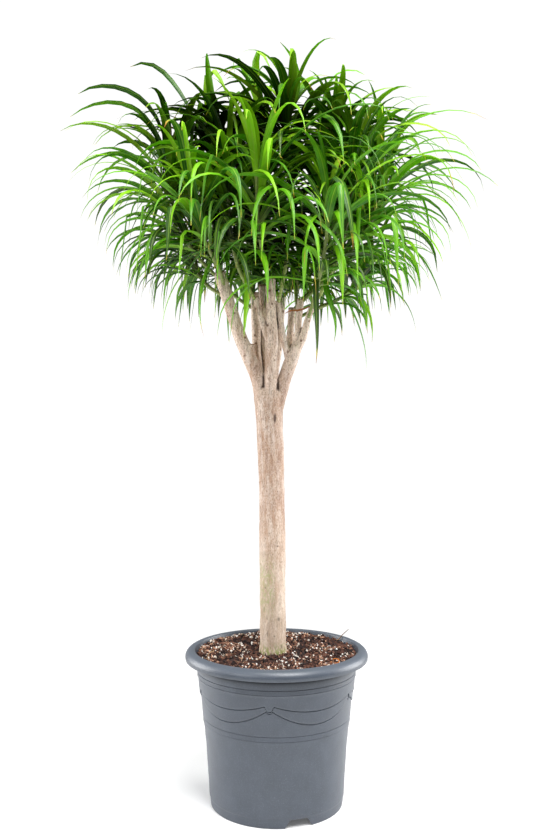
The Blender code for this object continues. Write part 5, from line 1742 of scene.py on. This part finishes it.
for seed, (name, grain) in enumerate(GRAINS.items()):
    shape, density, smallest, largest, tilt, lift, bare, finish = grain
    grains = grow(name, scatter_grains, peat.data.copy(), {
        "Grain": shape, "Density": float(density), "Seed": seed, "Smallest": [s * MM for s in smallest],
        "Largest": [s * MM for s in largest], "Tilt": tilt, "Lift": lift * MM, "Bare": bare,
        "Lowest": SOIL_HEIGHT - 8 * MM, "Patch Size": 32 * MM, "Left Clump": LEFT_CLUMP,
        "Back Clump": BACK_CLUMP, "Clump Radius": 42 * MM, "Material": finish})
    finish_piece(grains, "potting_mix", sharp=20)
    bpy.data.objects.remove(shape)

# %% [markdown]
# ## Litter
#
# A few single things lie about: a thin twig that leans towards the rim, a pale bent root, and a curled scrap
# of an old leaf. They are short lines, so the tree that made the limbs makes them too. One dead leaf has
# dropped across the right limbs and dried to orange brown, and the tree that grew the shoots makes it.


# %% Litter
def dull_skin(name, colour):
    material, _, _ = new_material(name, {"Base Color": linear(colour), "Roughness": 0.8})
    return material


def curl(centre, radius, thickness, turns):
    """A flat spiral of (x, y, z, radius), in millimetres."""
    points = []
    for i in range(13):
        angle = math.radians(200) + turns * 2 * math.pi * i / 12
        reach = radius * (1 - 0.25 * i / 12)
        points.append((centre[0] + reach * math.cos(angle), centre[1] + 0.35 * reach * math.sin(angle),
                       centre[2] + 0.5 * reach * math.sin(angle), thickness * (1.1 - i / 24)))
    return points


LITTER = {
    "dry_twig": ([(112, 84, 276, 0.9), (121, 82, 281, 0.9), (130, 82, 291, 0.8), (141, 81, 301, 0.5)],
                 "#7d5d42"),
    "pale_root": ([(-123, -66, 276, 0.5), (-124, -67, 285, 0.6), (-120, -68, 293, 0.6),
                   (-112, -68, 297, 0.4)], "#c79f74"),
    "leaf_scrap": (curl((104, -82, 282), 8.5, 1.5, 0.8), "#bf6a1e"),
}
for name, (line, colour) in LITTER.items():
    lines = line_mesh(name, [limb_points(line)], radius=limb_radii(line))
    piece = grow(name, tubes_along_lines, lines, {"Sides": 10, "Step": 1.2 * MM,
                                                  "Material": dull_skin(name + "_skin", colour)})
    finish_piece(piece, "potting_mix")

FALLEN_LINE = [(16, -22, 908), (26, -22, 913), (38, -17, 914), (50, -13, 917), (62, -14, 922),
               (69, -18, 921)]
FALLEN_WIDTHS = (0.8, 1.7, 2.1, 2, 1.4, 0.5)
fallen_points = [Vector(point) * MM for point in FALLEN_LINE]
count = len(fallen_points)
fallen_lines = line_mesh("fallen_line", [fallen_points], half_width=[w * MM for w in FALLEN_WIDTHS],
                         side=[Vector((0.1, -0.55, 0.83))] * count, is_stem=[0.0] * count,
                         along=[i / count for i in range(count)], tone=[0.0] * count,
                         dry=[1.1] * count, inner=[0.0] * count)
fallen = grow("fallen_leaf", grow_shoot, fallen_lines, {"Blade Section": section, **SHOOT_SIZES})
finish_piece(fallen, "foliage", sharp=50)
bpy.data.objects.remove(section)

# %% [markdown]
# ## Studio
#
# The photograph has a white ground and a soft white light, as in a light tent. A round matt floor glows a
# little, so that hardly a shadow shows, and the tent's wall is plain white. Its glow on the plant is weaker
# than it looks, so that the heart of the crown stays dark. Soft lamps above and in front give the leaves
# their gloss, and two from behind draw the light edges of the pot.

# %% Studio
TENT_LIGHT = 0.34
SEEN_BRIGHTNESS = 1.05
FLOOR_RADIUS = 1.3
floor_looks = {"Base Color": linear("#fbfbfb"), "Roughness": 0.9,
               "Emission Color": (1, 1, 1, 1), "Emission Strength": 0.09}
floor_material, _, _ = new_material("matt_white_floor", floor_looks)
disc = bmesh.new()
bmesh.ops.create_circle(disc, cap_ends=True, segments=96, radius=FLOOR_RADIUS)
floor = shape_object("studio_floor", disc)
floor.data.materials.append(floor_material)


def soft_lamp(name, place, target, size, power):
    """A square soft box that faces a point."""
    lamp = bpy.data.lights.new(name, "AREA")
    lamp.size = size
    lamp.energy = power
    item = bpy.data.objects.new(name, lamp)
    item.location = place
    item.rotation_euler = (Vector(target) - Vector(place)).to_track_quat("-Z", "Y").to_euler()
    bpy.context.scene.collection.objects.link(item)


soft_lamp("key", (0.8, -1.8, 3.0), (0, 0, 0.6), 1.3, 74)
soft_lamp("fill", (-2.0, -2.2, 1.7), (0, 0, 0.7), 1.5, 24)
soft_lamp("top", (0.3, -0.8, 3.4), (0, 0, 0.9), 1.4, 48)
soft_lamp("left_edge", (-1.9, 0.5, 0.7), (0, 0, 0.5), 1.4, 38)
soft_lamp("right_edge", (1.9, 0.5, 0.7), (0, 0, 0.5), 1.4, 42)
world = bpy.data.worlds.new("light_tent")
world.use_nodes = True
tent = world.node_tree
tent_wall = tent.nodes["Background"]
tent_wall.inputs["Color"].default_value = (1, 1, 1, 1)
seen = add_node(tent, "ShaderNodeLightPath").outputs["Is Camera Ray"]
glow = add_node(tent, "ShaderNodeMapRange", {0: seen, 3: TENT_LIGHT, 4: SEEN_BRIGHTNESS})
tent.links.new(glow.outputs[0], tent_wall.inputs["Strength"])
bpy.context.scene.world = world
bpy.context.scene.view_settings.view_transform = "Standard"
